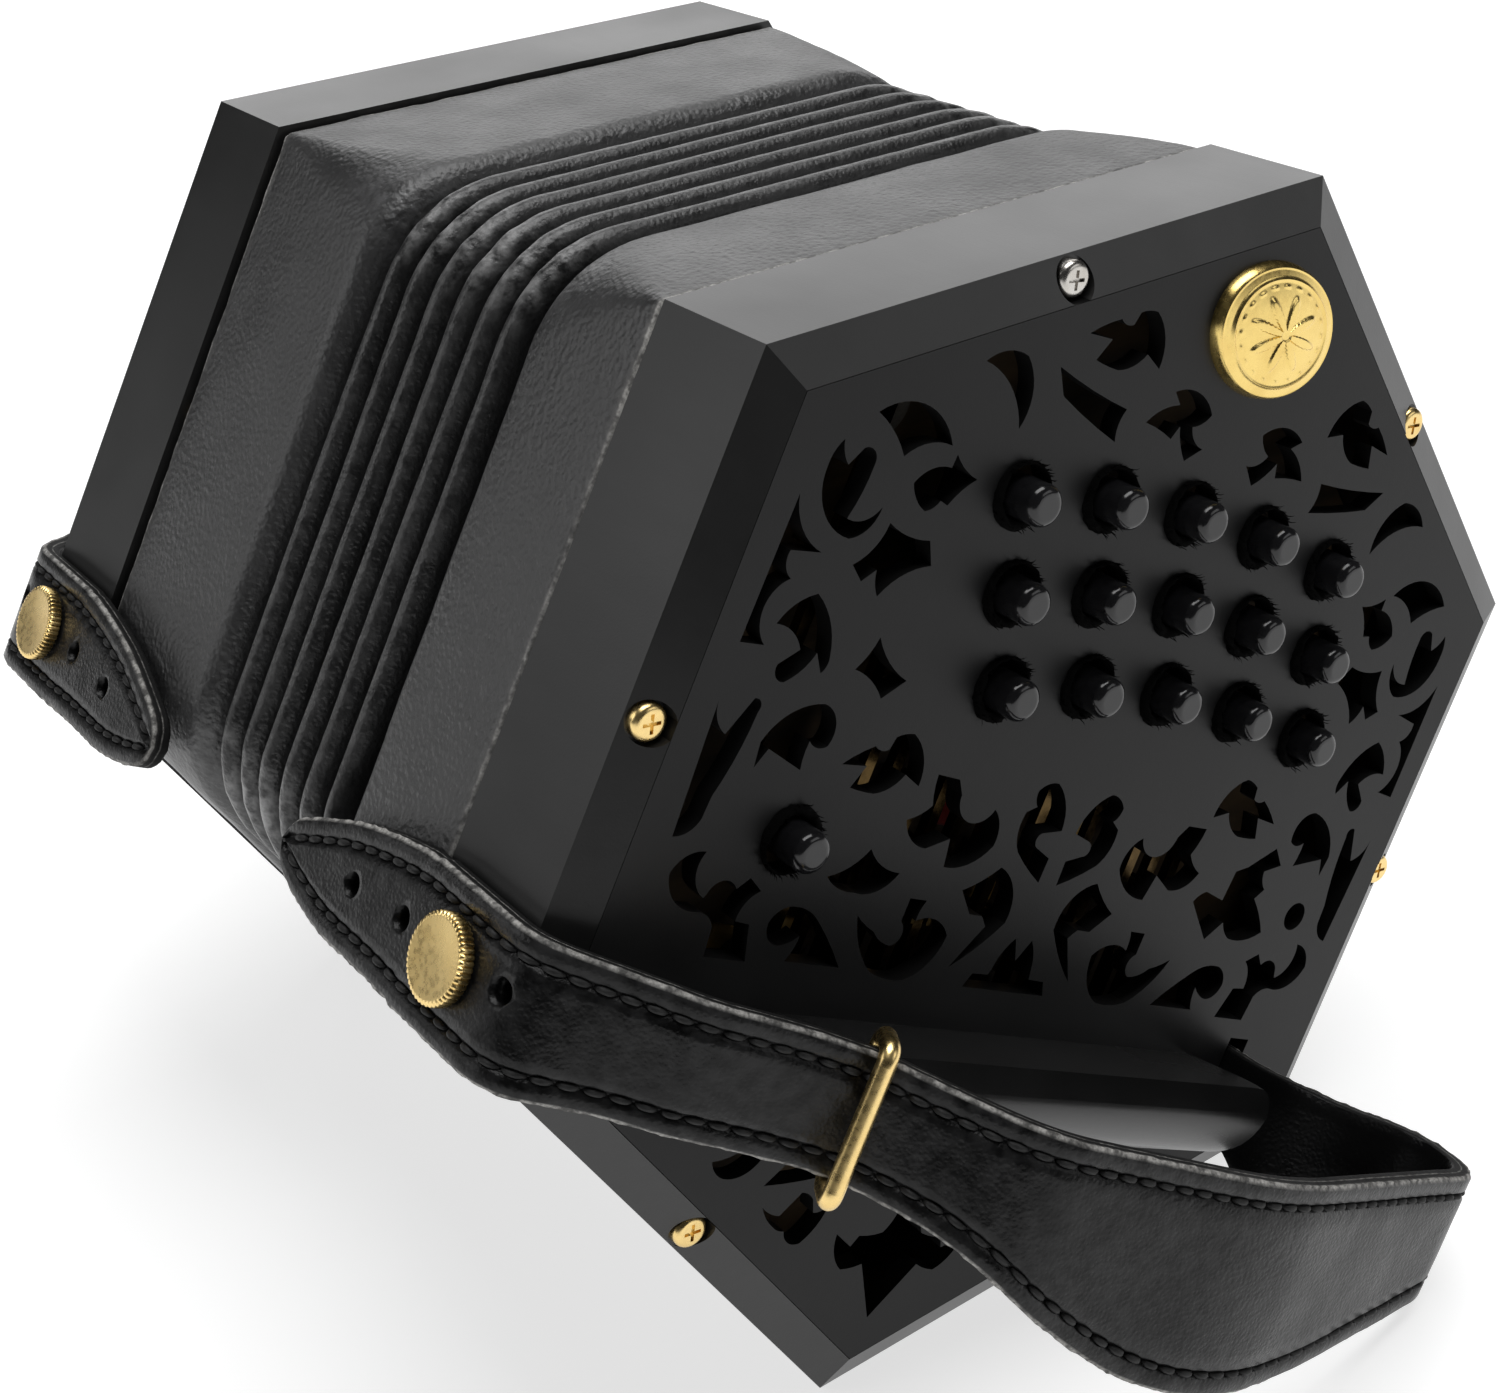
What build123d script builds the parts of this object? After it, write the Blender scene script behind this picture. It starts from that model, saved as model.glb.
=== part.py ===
"""A thirty-button Anglo concertina, bellows closed, standing on one flat of its hexagonal casing.

Each end is modelled in its own face frame: u runs along the button rows, v runs from the hand
rail up to the buttons, and w is the distance from the middle of the instrument along its length.
The right-hand end lies at +X.  The left-hand end is its mirror image about the YZ plane.
All sizes are in millimetres.
"""
import math
import os

from build123d import *

# Overall body
ACROSS_FLATS = 160.0
APOTHEM = ACROSS_FLATS / 2
SIDE = ACROSS_FLATS / math.sqrt(3)

# Stations along the length, measured from the middle of the instrument
PLATE_FACE = 76.6
PLATE_SEAT = 73.6
CASING_EDGE = 73.6
JOINT = 52.75
BOARD_TOP = 58.5
RIGHT_BAND_EDGE = 26.1
LEFT_BAND_EDGE = 16.5

# Casing, board and bellows frame
CHAMFER_INSET = 5.7
CASING_WALL = 8.0
PLATE_GAP = 0.1
BOARD_GAP = 0.2
FRAME_INSET = 0.8
FRAME_WALL = 8.0
FRAME_CORNER = 5.0
FRAME_GAP = 0.15

# Bellows folds
FOLD_COUNT = 6
FIRST_FOLD = 21.2
FOLD_PITCH = 6.36
FOLD_THICKNESS = 5.6
FOLD_INSET = 1.0
FOLD_DEPTH = 20.0
FOLD_CORNER = 22.0

# Buttons
ROW_COUNT = 3
COLUMN_COUNT = 5
BUTTON_RADIUS = 2.9
BUTTON_TOP = 81.9
CAP_DOME = 1.3
BUTTON_HOLE_RADIUS = 4.6
ROW_START_U = -34.4
ROW_SHIFT_U = 5.05
COLUMN_PITCH = 15.6
COLUMN_SPREAD = 0.19
ROW_CREST_V = 44.2
ROW_PITCH_V = 12.45
ROW_ARCH = 0.75
ROW_CREST_COLUMN = 2.6
AIR_BUTTON = (-49.9, -10.6)

# Levers and pads
PIVOT_W = 64.0
LEVER_THICKNESS = 1.6
LEVER_WIDTH = 1.8
FIRST_PIVOT_V = -5.0
PIVOT_STEP_V = -8.5
PAD_ARM = 29.0
AIR_PIVOT_V = 25.0
AIR_PAD_V = 44.0
PAD_RADIUS = 3.6
AIR_PAD_RADIUS = 5.5
PAD_THICKNESS = 3.2
PAD_CLEARANCE = 0.3
PAD_HOLE_RADIUS = 2.8
AIR_HOLE_RADIUS = 4.5
PIN_RADIUS = 0.5
PIN_CLEARANCE = 0.05
PIN_LENGTH = 3.6
EAR_THICKNESS = 0.7
EAR_GAP = 0.35
POST_LENGTH = 3.2

# End bolts
BOLT_APOTHEM = 76.9
BOLT_HEAD_RADIUS = 2.5
BOLT_HEAD_BASE = 73.7
BOLT_HEAD_TOP = 75.5
BOLT_SHANK_RADIUS = 1.3
BOLT_HOLE_RADIUS = 1.45
BOLT_POCKET_RADIUS = 2.9
BOLT_END = 38.0

# Hand rail
RAIL_HALF_LENGTH = 47.0
RAIL_FOOT_V = -34.0
RAIL_CREST_V = -31.0
RAIL_BACK_V = -46.0
RAIL_HEIGHT = 17.0
RAIL_SHOULDER = 6.0
RAIL_ROUNDING = 3.4
RAIL_CREST_FLAT = 3.0
RAIL_END_RADIUS = 5.0

# Hand strap
STRAP_THICKNESS = 3.0
STRAP_U = -81.8
STRAP_TIP_W = 20.4
STRAP_END_W = 66.0
STRAP_SLOT_U = 58.0
STRAP_SLOT = (-38.6, 4.6, 15.8)
TONGUE_LOWER_V = -45.9
STRAP_HOLE_RADIUS = 1.9

# Corners of the strap's middle line in (w, u), with the bend radius at each inner corner
STRAP_ROUTE = [
    (STRAP_TIP_W, STRAP_U), (76.6, STRAP_U), (90.8, -64.5), (98.6, -43.5), (115.5, -28),
    (123.5, 12), (118.6, 71.3), (105.5, 73.3), (93.5, STRAP_SLOT_U), (STRAP_END_W, STRAP_SLOT_U),
]
STRAP_BENDS = [10, 16, 12, 22, 60, 7, 8, 14]

# Points (u, v) on the strap's two edges
STRAP_UPPER_EDGE = [
    (-90, -27.6), (-80, -27.6), (-54, -27.7), (-36, -29), (0, -30.3), (50, -31.2), (90, -33),
]
STRAP_LOWER_EDGE = [
    (-90, -47.6), (-80, -46.4), (-62, -44.6), (-44, -45.4), (-33, -46.7), (-20, -53.4), (-4, -59.3),
    (12, -60.9), (30, -59.4), (52, -54.6), (70, -50), (90, -45),
]

# Half of the pointed tip in (v, w), measured from the tip's own middle, and that middle's v
STRAP_TIP = [(4.0, 3.0), (6.4, 10.0), (8.0, 17.0), (9.6, 32.0), (12.0, 45.0)]
STRAP_TIP_V = -40.2

# Thumb screw, in the third of the strap's four holes
SCREW_W = 63.8
SCREW_V = -36.9
SCREW_HEAD_RADIUS = 5.9
SCREW_HEAD_TOP = 5.8
SCREW_HEAD_THICKNESS = 2.1
SCREW_SHANK_RADIUS = 1.6
SCREW_HOLE_RADIUS = 1.65
SCREW_LENGTH = 10.0
KNURL_COUNT = 40
STRAP_HOLES = [(-24.2, -2.4), (-11.8, -1.2), (0, 0), (10.8, 0.3)]

# The left-hand strap sits this much lower on its casing
LEFT_STRAP_DROP = 4.0

# v of the strap's lower edge where it lies on the casing
STRAP_SIDE_LOWER_V = -47.15

# Slider
SLIDER_WIRE_RADIUS = 1.3
SLIDER_CENTRE = (98.95, -43.75)
SLIDER_SLOPE = 34.3
SLIDER_V = (-48.6, -25.4)
SLIDER_GAP = 3.8

# Medallion
MEDALLION_CENTRE = (-1.5, 70.6)
MEDALLION_RADIUS = 12.0
MEDALLION_OVAL = 0.78
MEDALLION_RIM = 1.4
MEDALLION_DOME = 2.6

# Reed pan
PAN_FLOOR = (40.0, 44.0)
PAN_TOP = 52.0
PAN_GAP = 0.6
PAN_WALL = 2.4
CHAMBER_COUNT = 15
CHAMBER_HUB = 26.0
REED_SIZE = (24.0, 9.0, 2.0)
REED_TONGUE = (16.0, 2.4, 0.4)

# Fretwork of the right-hand plate, drawn on its left half.  Each outline runs clockwise and
# lists (u, v, rise): the rise of the arc to the next point, outwards if positive.
PAIRED_CUTS = {
    "fan": [(-62.5, 43.3, 3.2), (-49, 42.3, -1.0), (-56, 39.2, -0.5)],
    "crescent": [(-49, 53.4, 1.0), (-42.5, 55.8, 1.6), (-39.3, 46.9, -1.6)],
    "horns": [
        (-66, 39, -0.3), (-64, 36.2, 0), (-62.5, 38.7, 0.9), (-60, 37.3, 0.3),
        (-61, 30, -1.0), (-56.2, 32.6, 1.0), (-59.5, 27.7, 2.3), (-67, 35.5, 0.3),
    ],
    "edge_leaf": [
        (-69.5, 31.3, -1.3), (-62.8, 25.2, 0), (-67.6, 24.5, -0.7),
        (-65.9, 21.2, -2.3), (-66, 12.6, 0), (-69.8, 12.3, 0),
    ],
    "dove": [
        (-52.8, 36.5, 0.9), (-47.7, 39.7, 0), (-47.6, 41.5, -0.4), (-42.8, 39.3, -0.3),
        (-46, 35.1, 0), (-47.4, 35.4, 0.3), (-49.3, 33.6, 0.5),
    ],
    "anvil": [
        (-54, 31, -0.6), (-46.5, 30.3, 0), (-44.7, 27.3, -0.9), (-51.5, 21.8, 0.3),
        (-53.2, 25, 0), (-55, 23.1, 0), (-57.3, 24.8, -0.8),
    ],
    "toadstool": [
        (-65.4, 15.5, 0.7), (-60.8, 20.3, 1.0), (-55.1, 13, 0.3), (-55.6, 10.8, 0),
        (-57.4, 13.2, 0.5), (-60.8, 8.7, 0.8), (-62.8, 10.7, 0), (-60.2, 13.1, -0.8),
    ],
    "dome": [
        (-60.7, 0.8, 1.5), (-52.8, 7.2, 1.5), (-49.8, 2, 0.6), (-53, 2.2, -0.2),
        (-52.7, -1.7, 0), (-59, 0.2, 0), (-60.2, -2.5, 0),
    ],
    "fork": [
        (-69.5, 4.9, -0.7), (-66.6, 0.9, 0), (-64.2, 6, 0.7), (-62.9, 4.5, 0.4),
        (-64.9, -7, 0), (-65.1, -10, 0.7), (-68.5, -12.8, 0),
    ],
    "scroll": [
        (-62.3, -14, -1.4), (-60, -20, 0), (-59.6, -19.2, 1.4), (-55.3, -18.2, 0),
        (-53.7, -16.5, 0), (-51.2, -18, -0.7), (-53.5, -22.4, 0), (-51, -22.6, 0),
        (-49.3, -27.6, 0), (-56.3, -27.6, 0), (-56.8, -23.6, -0.6), (-60.2, -21.9, 1.5),
        (-66.7, -17.5, 1.0),
    ],
    "hook": [
        (-47.9, -22, 0.8), (-44.3, -19.4, 0.4), (-39.8, -20.8, 0.2), (-32.8, -26.9, 0),
        (-42.8, -26.9, -0.3), (-41.8, -23.2, 0.3), (-45, -24.9, 0.9),
    ],
    "anchor": [
        (-25, -16, 0), (-21.8, -16, -0.2), (-22.4, -19, 1.3), (-15.4, -20.5, 1.3),
        (-20.5, -27.6, 0.4), (-27, -27, 0.8), (-33.2, -19.4, -0.2), (-29.2, -21.3, -0.4),
        (-25.2, -23, -1.2), (-25, -19.4, 0),
    ],
    "tulip": [
        (-29, 1.3, 0), (-24.8, 1.2, 0), (-23.3, -0.8, -3.0), (-16, -1.9, 0.9),
        (-13.6, -7, 1.2), (-21.3, -11, 0), (-22.2, -7, 0), (-26, -8.9, 1.0),
        (-31.4, -5.5, -0.3), (-27.8, -3, 0.2),
    ],
    "lobe": [
        (-9.2, 1.8, 0.5), (-5.8, 3.4, 1.0), (-1.5, -3.1, 0), (-5, -3.9, -0.9),
        (-4.8, -6.2, 0), (-1.8, -7.3, 0), (-1.9, -11, 0.2), (-8.4, -7.2, 0.8),
        (-9.9, -1.4, 0), (-8.2, -0.4, 0.3),
    ],
    "comma": [
        (-16, -13.8, -0.3), (-10.3, -9.7, 1.8), (-5.2, -17.5, 0.4), (-12.7, -24.9, 0),
        (-8.8, -18.4, 0), (-10.2, -17, 0), (-12.8, -17, 0),
    ],
    "crown": [
        (-8.5, -27.5, 0), (-7.5, -25.4, 0), (-4.3, -25.3, 0), (-3.6, -22.5, 0.2),
        (-1.7, -19.5, 0), (0, -22.8, 0), (0, -27.5, 0),
    ],
    "flag": [(-36.5, 56, -0.3), (-22, 54, -0.5), (-21.8, 49.5, 0.2), (-34, 52.7, 0)],
    "thistle": [
        (-14.4, 58.4, 1.6), (-5.8, 57.3, 0.4), (-8.6, 54.9, -0.6), (-5, 52.6, 0),
        (-7.6, 50.3, 0.3), (-11, 54.4, 0), (-11.8, 52.4, -0.2), (-17.6, 53.3, 0.6),
        (-12.6, 57, 0),
    ],
    "lower_leaf": [(-41.2, -55.6, -0.8), (-34.5, -51.5, 0.4), (-32.5, -54.3, 1.2), (-38, -58, 0.5)],
    "lower_flag": [(-30.4, -58.8, 0), (-27.8, -55.4, 0), (-21.5, -54.2, 0), (-20, -57, 0.2)],
    "lower_dove": [
        (-29, -62, -0.3), (-25.3, -63.2, 0), (-22.8, -59.6, 0.3), (-20.2, -60.6, 0),
        (-19.2, -62.6, -0.3), (-16.8, -61.5, 0.6), (-19.5, -67.3, 0.9), (-23.3, -65.5, 0.2),
        (-25.5, -65, 0.3),
    ],
    "keystone": [
        (-12.9, -65.8, 0), (-9.3, -67.7, 0), (-8.4, -66, -0.2), (-4, -65.4, -0.6),
        (-2.6, -60, 0), (0, -57.5, 0), (0, -79, 0), (-5.6, -70.4, 0.2), (-9.5, -71.3, 0.8),
    ],
}
BIRD = [
    (0, 0, 0.2), (4.5, 3.2, -0.4), (7, 3.1, 0), (7.4, 4.9, 0.2), (10.3, 5.8, 1.2),
    (14.6, -0.9, 0), (11.5, 0.3, 0.6), (7.3, -3.0, 0.1), (2.9, -2.8, 0), (4.3, 0.4, 0),
]
BIRD_PLACES = [(-46.3, 0.1, False), (-33.8, 61.2, False), (33.8, 61.2, True), (43.9, 4.1, True)]
LEFT_ONLY_CUTS = {
    "diamond": [(-48.3, 17, -0.7), (-41.1, 12.4, 0), (-44.2, 9.4, -0.6), (-50.3, 12.3, -0.3)],
    "gull": [(-41.2, -14.8, -0.7), (-35.5, -10.2, -0.8), (-28.8, -12.8, 1.3), (-35.5, -16.4, 0.6)],
}
RIGHT_ONLY_CUTS = {
    "windmill": [
        (32.8, -10, 0.3), (35, -8.1, 0), (39.4, -9, 0), (39.8, -4.2, 0), (42.2, -3.2, 0),
        (47.1, 0.5, 0), (49.8, -2, 0), (46.4, -3.4, -0.4), (48.3, -6.2, 0), (46.8, -7.9, 0.3),
        (51.9, -13, 0.8), (44.5, -14.8, 0.3), (41.8, -12.4, 0), (39, -15.5, 0),
    ],
}
DOT_CUT = (58.5, -9.6, 2.3)

# The origin is centred between the left-hand strap's lower edge at -Y and the casing's corner at +Y
STRAP_EDGE_Y = (
    (STRAP_U - STRAP_THICKNESS / 2) * math.cos(math.pi / 6)
    + (STRAP_SIDE_LOWER_V - LEFT_STRAP_DROP) / 2
)
CENTRE_Y = (STRAP_EDGE_Y + SIDE) / 2

FACE = Plane(
    origin=(0, -CENTRE_Y, APOTHEM),
    x_dir=(0, math.cos(math.pi / 6), -0.5),
    z_dir=(1, 0, 0),
)


def prism(sketch, low, high):
    """Extrude a flat outline between two stations w."""
    return extrude(Pos(0, 0, low) * sketch, high - low)


def hexagon(apothem):
    """Hexagon with a pair of flats square to u."""
    return RegularPolygon(apothem, 6, major_radius=False, rotation=30)


def rounded_hexagon(apothem, radius):
    """Hexagon whose corners are rounded."""
    outline = hexagon(apothem)
    return fillet(outline.vertices(), radius)


def ring(outer, inner, low, high):
    """Hollow prism between an outer and an inner outline."""
    return prism(outer, low, high) - prism(inner, low, high)


def post(u, v, radius, low, high):
    """Round rod along w."""
    return Pos(u, v, low) * Cylinder(radius, high - low, align=(Align.CENTER, Align.CENTER, Align.MIN))


def block(u, v, w, length, width, height):
    """Box centred at a point of the face frame."""
    return Pos(u, v, w) * Box(length, width, height)


def button_places():
    """Centres of the fifteen main buttons, row by row, as (row, column, u, v)."""
    places = []
    for row in range(ROW_COUNT):
        for column in range(COLUMN_COUNT):
            u = ROW_START_U + row * ROW_SHIFT_U + COLUMN_PITCH * column + COLUMN_SPREAD * column**2
            v = ROW_CREST_V - row * ROW_PITCH_V - ROW_ARCH * (column - ROW_CREST_COLUMN) ** 2
            places.append((row, column, u, v))
    return places


def key_list(has_air_key):
    """Every key of one end: name, button centre, pivot v, pad v, pad radius and hole radius."""
    keys = []
    for row, column, u, v in button_places():
        pivot_v = FIRST_PIVOT_V + row * PIVOT_STEP_V
        name = f"key_{row + 1}_{column + 1}"
        keys.append((name, u, v, pivot_v, pivot_v - PAD_ARM, PAD_RADIUS, PAD_HOLE_RADIUS))
    if has_air_key:
        u, v = AIR_BUTTON
        keys.append(("air_key", u, v, AIR_PIVOT_V, AIR_PAD_V, AIR_PAD_RADIUS, AIR_HOLE_RADIUS))
    return keys


def bolt_places():
    """Centres of the six end bolts, one in the middle of each flat."""
    return [
        (BOLT_APOTHEM * math.cos(math.radians(turn)), BOLT_APOTHEM * math.sin(math.radians(turn)))
        for turn in range(0, 360, 60)
    ]


def outline(points):
    """Closed flat face through (x, y, rise) points joined by lines or arcs."""
    edges = []
    for start, end in zip(points, points[1:] + points[:1]):
        if start[2]:
            edges.append(SagittaArc(start[:2], end[:2], start[2]))
        else:
            edges.append(Line(start[:2], end[:2]))
    return make_face(Wire([edge.edge() for edge in edges]))


def fretwork():
    """All the decorative openings of an end plate."""
    cuts = []
    for points in PAIRED_CUTS.values():
        half = outline(points)
        cuts += [half, mirror(half, about=Plane.YZ)]
    for u, v, flipped in BIRD_PLACES:
        bird = outline(BIRD)
        if flipped:
            bird = mirror(bird, about=Plane.YZ)
        cuts.append(Pos(u, v) * bird)
    for points in list(LEFT_ONLY_CUTS.values()) + list(RIGHT_ONLY_CUTS.values()):
        cuts.append(outline(points))
    cuts.append(Pos(DOT_CUT[0], DOT_CUT[1]) * Circle(DOT_CUT[2]))
    return cuts


def end_plate(keys):
    """Flat fretted end plate with button holes and the strap's slot."""
    sheet = hexagon(APOTHEM - CHAMFER_INSET - PLATE_GAP)
    for cut in fretwork():
        sheet -= cut
    for _, u, v, *_ in keys:
        sheet -= Pos(u, v) * Circle(BUTTON_HOLE_RADIUS)
    slot_v, slot_width, slot_length = STRAP_SLOT
    sheet -= Pos(STRAP_SLOT_U, slot_v) * Rectangle(slot_width, slot_length)
    return prism(sheet, PLATE_SEAT, PLATE_FACE)


def casing(drop):
    """Hexagonal casing with a chamfered rim round the end plate."""
    body = prism(hexagon(APOTHEM), JOINT, CASING_EDGE)
    rim = loft(
        Sketch() + [
            Pos(0, 0, CASING_EDGE) * hexagon(APOTHEM),
            Pos(0, 0, PLATE_FACE) * hexagon(APOTHEM - CHAMFER_INSET),
        ]
    )
    body += rim
    body -= prism(hexagon(APOTHEM - CASING_WALL), JOINT - 1, PLATE_SEAT)
    body -= prism(hexagon(APOTHEM - CHAMFER_INSET), PLATE_SEAT, PLATE_FACE + 1)
    for u, v in bolt_places():
        body -= post(u, v, BOLT_HOLE_RADIUS, JOINT - 1, PLATE_FACE)
        body -= post(u, v, BOLT_POCKET_RADIUS, BOLT_HEAD_BASE, PLATE_FACE + 1)
    screw_hole = Rot(0, 90, 0) * Cylinder(SCREW_HOLE_RADIUS, 40)
    body -= Pos(-APOTHEM, SCREW_V - drop, SCREW_W) * screw_hole
    return body


def action_board(keys):
    """Board under the levers, with one air hole beneath each pad."""
    board = prism(hexagon(APOTHEM - CASING_WALL - BOARD_GAP), JOINT, BOARD_TOP)
    for _, u, _, _, pad_v, _, hole_radius in keys:
        board -= post(u, pad_v, hole_radius, JOINT - 1, BOARD_TOP + 1)
    return board


def lever_posts(keys):
    """Forked brass posts that carry the lever pins, one for each key."""
    posts = []
    ear_offset = LEVER_WIDTH / 2 + EAR_GAP + EAR_THICKNESS / 2
    ear_height = PIVOT_W + 1.2 - BOARD_TOP
    for _, u, _, pivot_v, *_ in keys:
        fork = block(u, pivot_v, BOARD_TOP + 0.5, 2 * ear_offset + EAR_THICKNESS, POST_LENGTH, 1.0)
        for side in (-1, 1):
            ear_w = BOARD_TOP + ear_height / 2
            fork += block(u + side * ear_offset, pivot_v, ear_w, EAR_THICKNESS, POST_LENGTH, ear_height)
        bore = Cylinder(PIN_RADIUS + PIN_CLEARANCE, 8)
        fork -= Pos(u, pivot_v, PIVOT_W) * Rot(0, 90, 0) * bore
        posts.append(fork.solid())
    return posts


def key(name, u, v, pivot_v, pad_v, pad_radius, hole_radius):
    """One key: domed button, lever with its cross pin, and the pad that closes the air hole."""
    stem_base = PIVOT_W + LEVER_THICKNESS / 2
    button = post(u, v, BUTTON_RADIUS, stem_base, BUTTON_TOP)
    rim = button.edges().filter_by(GeomType.CIRCLE).sort_by(Axis.Z)[-1]
    button = fillet(rim, CAP_DOME)
    button_tip_v = v + math.copysign(BUTTON_RADIUS, v - pad_v)
    pad_tip_v = pad_v - math.copysign(pad_radius * 0.6, v - pad_v)
    middle = (button_tip_v + pad_tip_v) / 2
    length = abs(button_tip_v - pad_tip_v)
    lever = block(u, middle, PIVOT_W, LEVER_WIDTH, length, LEVER_THICKNESS)
    pin = Pos(u, pivot_v, PIVOT_W) * Rot(0, 90, 0) * Cylinder(PIN_RADIUS, PIN_LENGTH)
    lever += pin
    pad_base = BOARD_TOP + PAD_CLEARANCE
    pad = post(u, pad_v, pad_radius, pad_base, pad_base + PAD_THICKNESS)
    neck = post(u, pad_v, 1.0, pad_base + PAD_THICKNESS, PIVOT_W - LEVER_THICKNESS / 2)
    return [button.solid(), lever.solid(), pad.solid(), neck.solid()]


def reed_pan():
    """Reed pan with radial chamber walls, and a metal reed over each slot of its floor."""
    pan_apothem = APOTHEM - FRAME_INSET - FRAME_WALL - PAN_GAP
    turns = [Rot(0, 0, 360 / CHAMBER_COUNT * chamber) for chamber in range(CHAMBER_COUNT)]
    half_turn = Rot(0, 0, 180 / CHAMBER_COUNT)
    reed_radius = (CHAMBER_HUB + pan_apothem) / 2
    floor = hexagon(pan_apothem)
    walls = hexagon(pan_apothem) - hexagon(pan_apothem - PAN_WALL)
    walls += Circle(CHAMBER_HUB) - Circle(CHAMBER_HUB - PAN_WALL)
    shoes = []
    for turn in turns:
        floor -= turn * Pos(reed_radius, 0) * Rectangle(REED_TONGUE[0], REED_TONGUE[1] + 1)
        wall = Pos(CHAMBER_HUB + 40, 0) * Rectangle(81, PAN_WALL)
        walls += (half_turn * turn * wall) & hexagon(pan_apothem)
        shoe = Rectangle(REED_SIZE[0], REED_SIZE[1])
        shoe -= Rectangle(REED_TONGUE[0], REED_TONGUE[1] + 0.4)
        shoe = prism(shoe, PAN_FLOOR[1], PAN_FLOOR[1] + REED_SIZE[2])
        tongue_w = PAN_FLOOR[1] + REED_SIZE[2] + REED_TONGUE[2] / 2
        shoe += block(-1.5, 0, tongue_w, REED_TONGUE[0] + 1, REED_TONGUE[1], REED_TONGUE[2])
        shoes.append(turn * Pos(reed_radius, 0, 0) * shoe.solid())
    pan = prism(floor, *PAN_FLOOR) + prism(walls, PAN_FLOOR[1], PAN_TOP)
    return [pan.solid()] + shoes


def end_bolts():
    """Six long bolts that hold the casing to the bellows frame."""
    bolts = []
    for u, v in bolt_places():
        head = post(u, v, BOLT_HEAD_RADIUS, BOLT_HEAD_BASE, BOLT_HEAD_TOP)
        crown = head.edges().filter_by(GeomType.CIRCLE).sort_by(Axis.Z)[-1]
        head = fillet(crown, 0.9)
        for turn in (0, 90):
            cross = Box(2.6, 0.5, 1.0)
            head -= Pos(u, v, BOLT_HEAD_TOP) * Rot(0, 0, 20 + turn) * cross
        head += post(u, v, BOLT_SHANK_RADIUS, BOLT_END, BOLT_HEAD_BASE)
        bolts.append(head.solid())
    return bolts


def hand_rail():
    """Palm rest: upright towards the buttons, rounded towards the palm."""
    base = PLATE_FACE
    top = PLATE_FACE + RAIL_HEIGHT
    # The section is drawn in v and w and extruded along u.
    section = Plane(origin=(-RAIL_HALF_LENGTH, 0, 0), x_dir=(0, 1, 0), z_dir=(1, 0, 0))
    profile = outline([
        (RAIL_FOOT_V, base, 0),
        (RAIL_BACK_V, base, 0),
        (RAIL_BACK_V, base + RAIL_SHOULDER, RAIL_ROUNDING),
        (RAIL_CREST_V - RAIL_CREST_FLAT, top, 0),
        (RAIL_CREST_V, top, 0),
    ])
    bar = extrude(section * profile, 2 * RAIL_HALF_LENGTH)
    width = RAIL_CREST_V - RAIL_BACK_V
    plan = Pos(0, (RAIL_CREST_V + RAIL_BACK_V) / 2) * RectangleRounded(
        2 * RAIL_HALF_LENGTH, width, RAIL_END_RADIUS
    )
    return bar & prism(plan, base, top)


def strap_edge(points, drop):
    """One edge of the strap, with its first stretch lowered along the casing."""
    lowered = [(u, v - drop) if u <= -80 else (u, v) for u, v in points]
    return Spline(lowered)


def hand_strap(drop):
    """Leather strap from the thumb screw, out round the hand and back to its slot in the plate."""
    middle_line = FilletPolyline(*STRAP_ROUTE, radius=STRAP_BENDS)
    band = make_face(offset(middle_line, STRAP_THICKNESS / 2))
    # The band is drawn in w and u and extruded along v.
    side_view = Plane(origin=(0, 0, 0), x_dir=(0, 0, 1), z_dir=(0, 1, 0))
    ribbon = extrude(side_view * band, 80, both=True)
    top = strap_edge(STRAP_UPPER_EDGE, drop)
    bottom = strap_edge(STRAP_LOWER_EDGE, drop)
    right = Line(top @ 1, bottom @ 1)
    left = Line(bottom @ 0, top @ 0)
    plan = make_face(Wire([line.edge() for line in (top, right, bottom, left)]))
    strap = ribbon & prism(plan, 0, 150)
    # The tip and the tongue are cut in a view along u.
    tip_view = Plane(origin=(-100, 0, 0), x_dir=(0, 1, 0), z_dir=(1, 0, 0))
    upper_side = [(STRAP_TIP_V + v, STRAP_TIP_W + w) for v, w in STRAP_TIP]
    lower_side = [(STRAP_TIP_V - v, STRAP_TIP_W + w) for v, w in STRAP_TIP]
    nose = Spline(lower_side[::-1] + [(STRAP_TIP_V, STRAP_TIP_W)] + upper_side)
    beyond = Polyline(nose @ 1, (40, 70), (40, 150), (-100, 150), (-100, 70), nose @ 0)
    tip = make_face(Wire([nose.edge()] + list(beyond.edges())))
    strap &= extrude(tip_view * Pos(-drop, 0) * tip, 200)
    tongue = outline([
        (TONGUE_LOWER_V, 60, 0),
        (-70, 60, 0),
        (-70, 102, 0),
        (TONGUE_LOWER_V - 6, 102, 0),
        (TONGUE_LOWER_V, 84, 0),
    ])
    strap -= Pos(145, 0, 0) * extrude(tip_view * tongue, 25)
    for along, across in STRAP_HOLES:
        hole = Rot(0, 90, 0) * Cylinder(STRAP_HOLE_RADIUS, 12)
        strap -= Pos(STRAP_U, SCREW_V + across - drop, SCREW_W + along) * hole
    return strap


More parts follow.
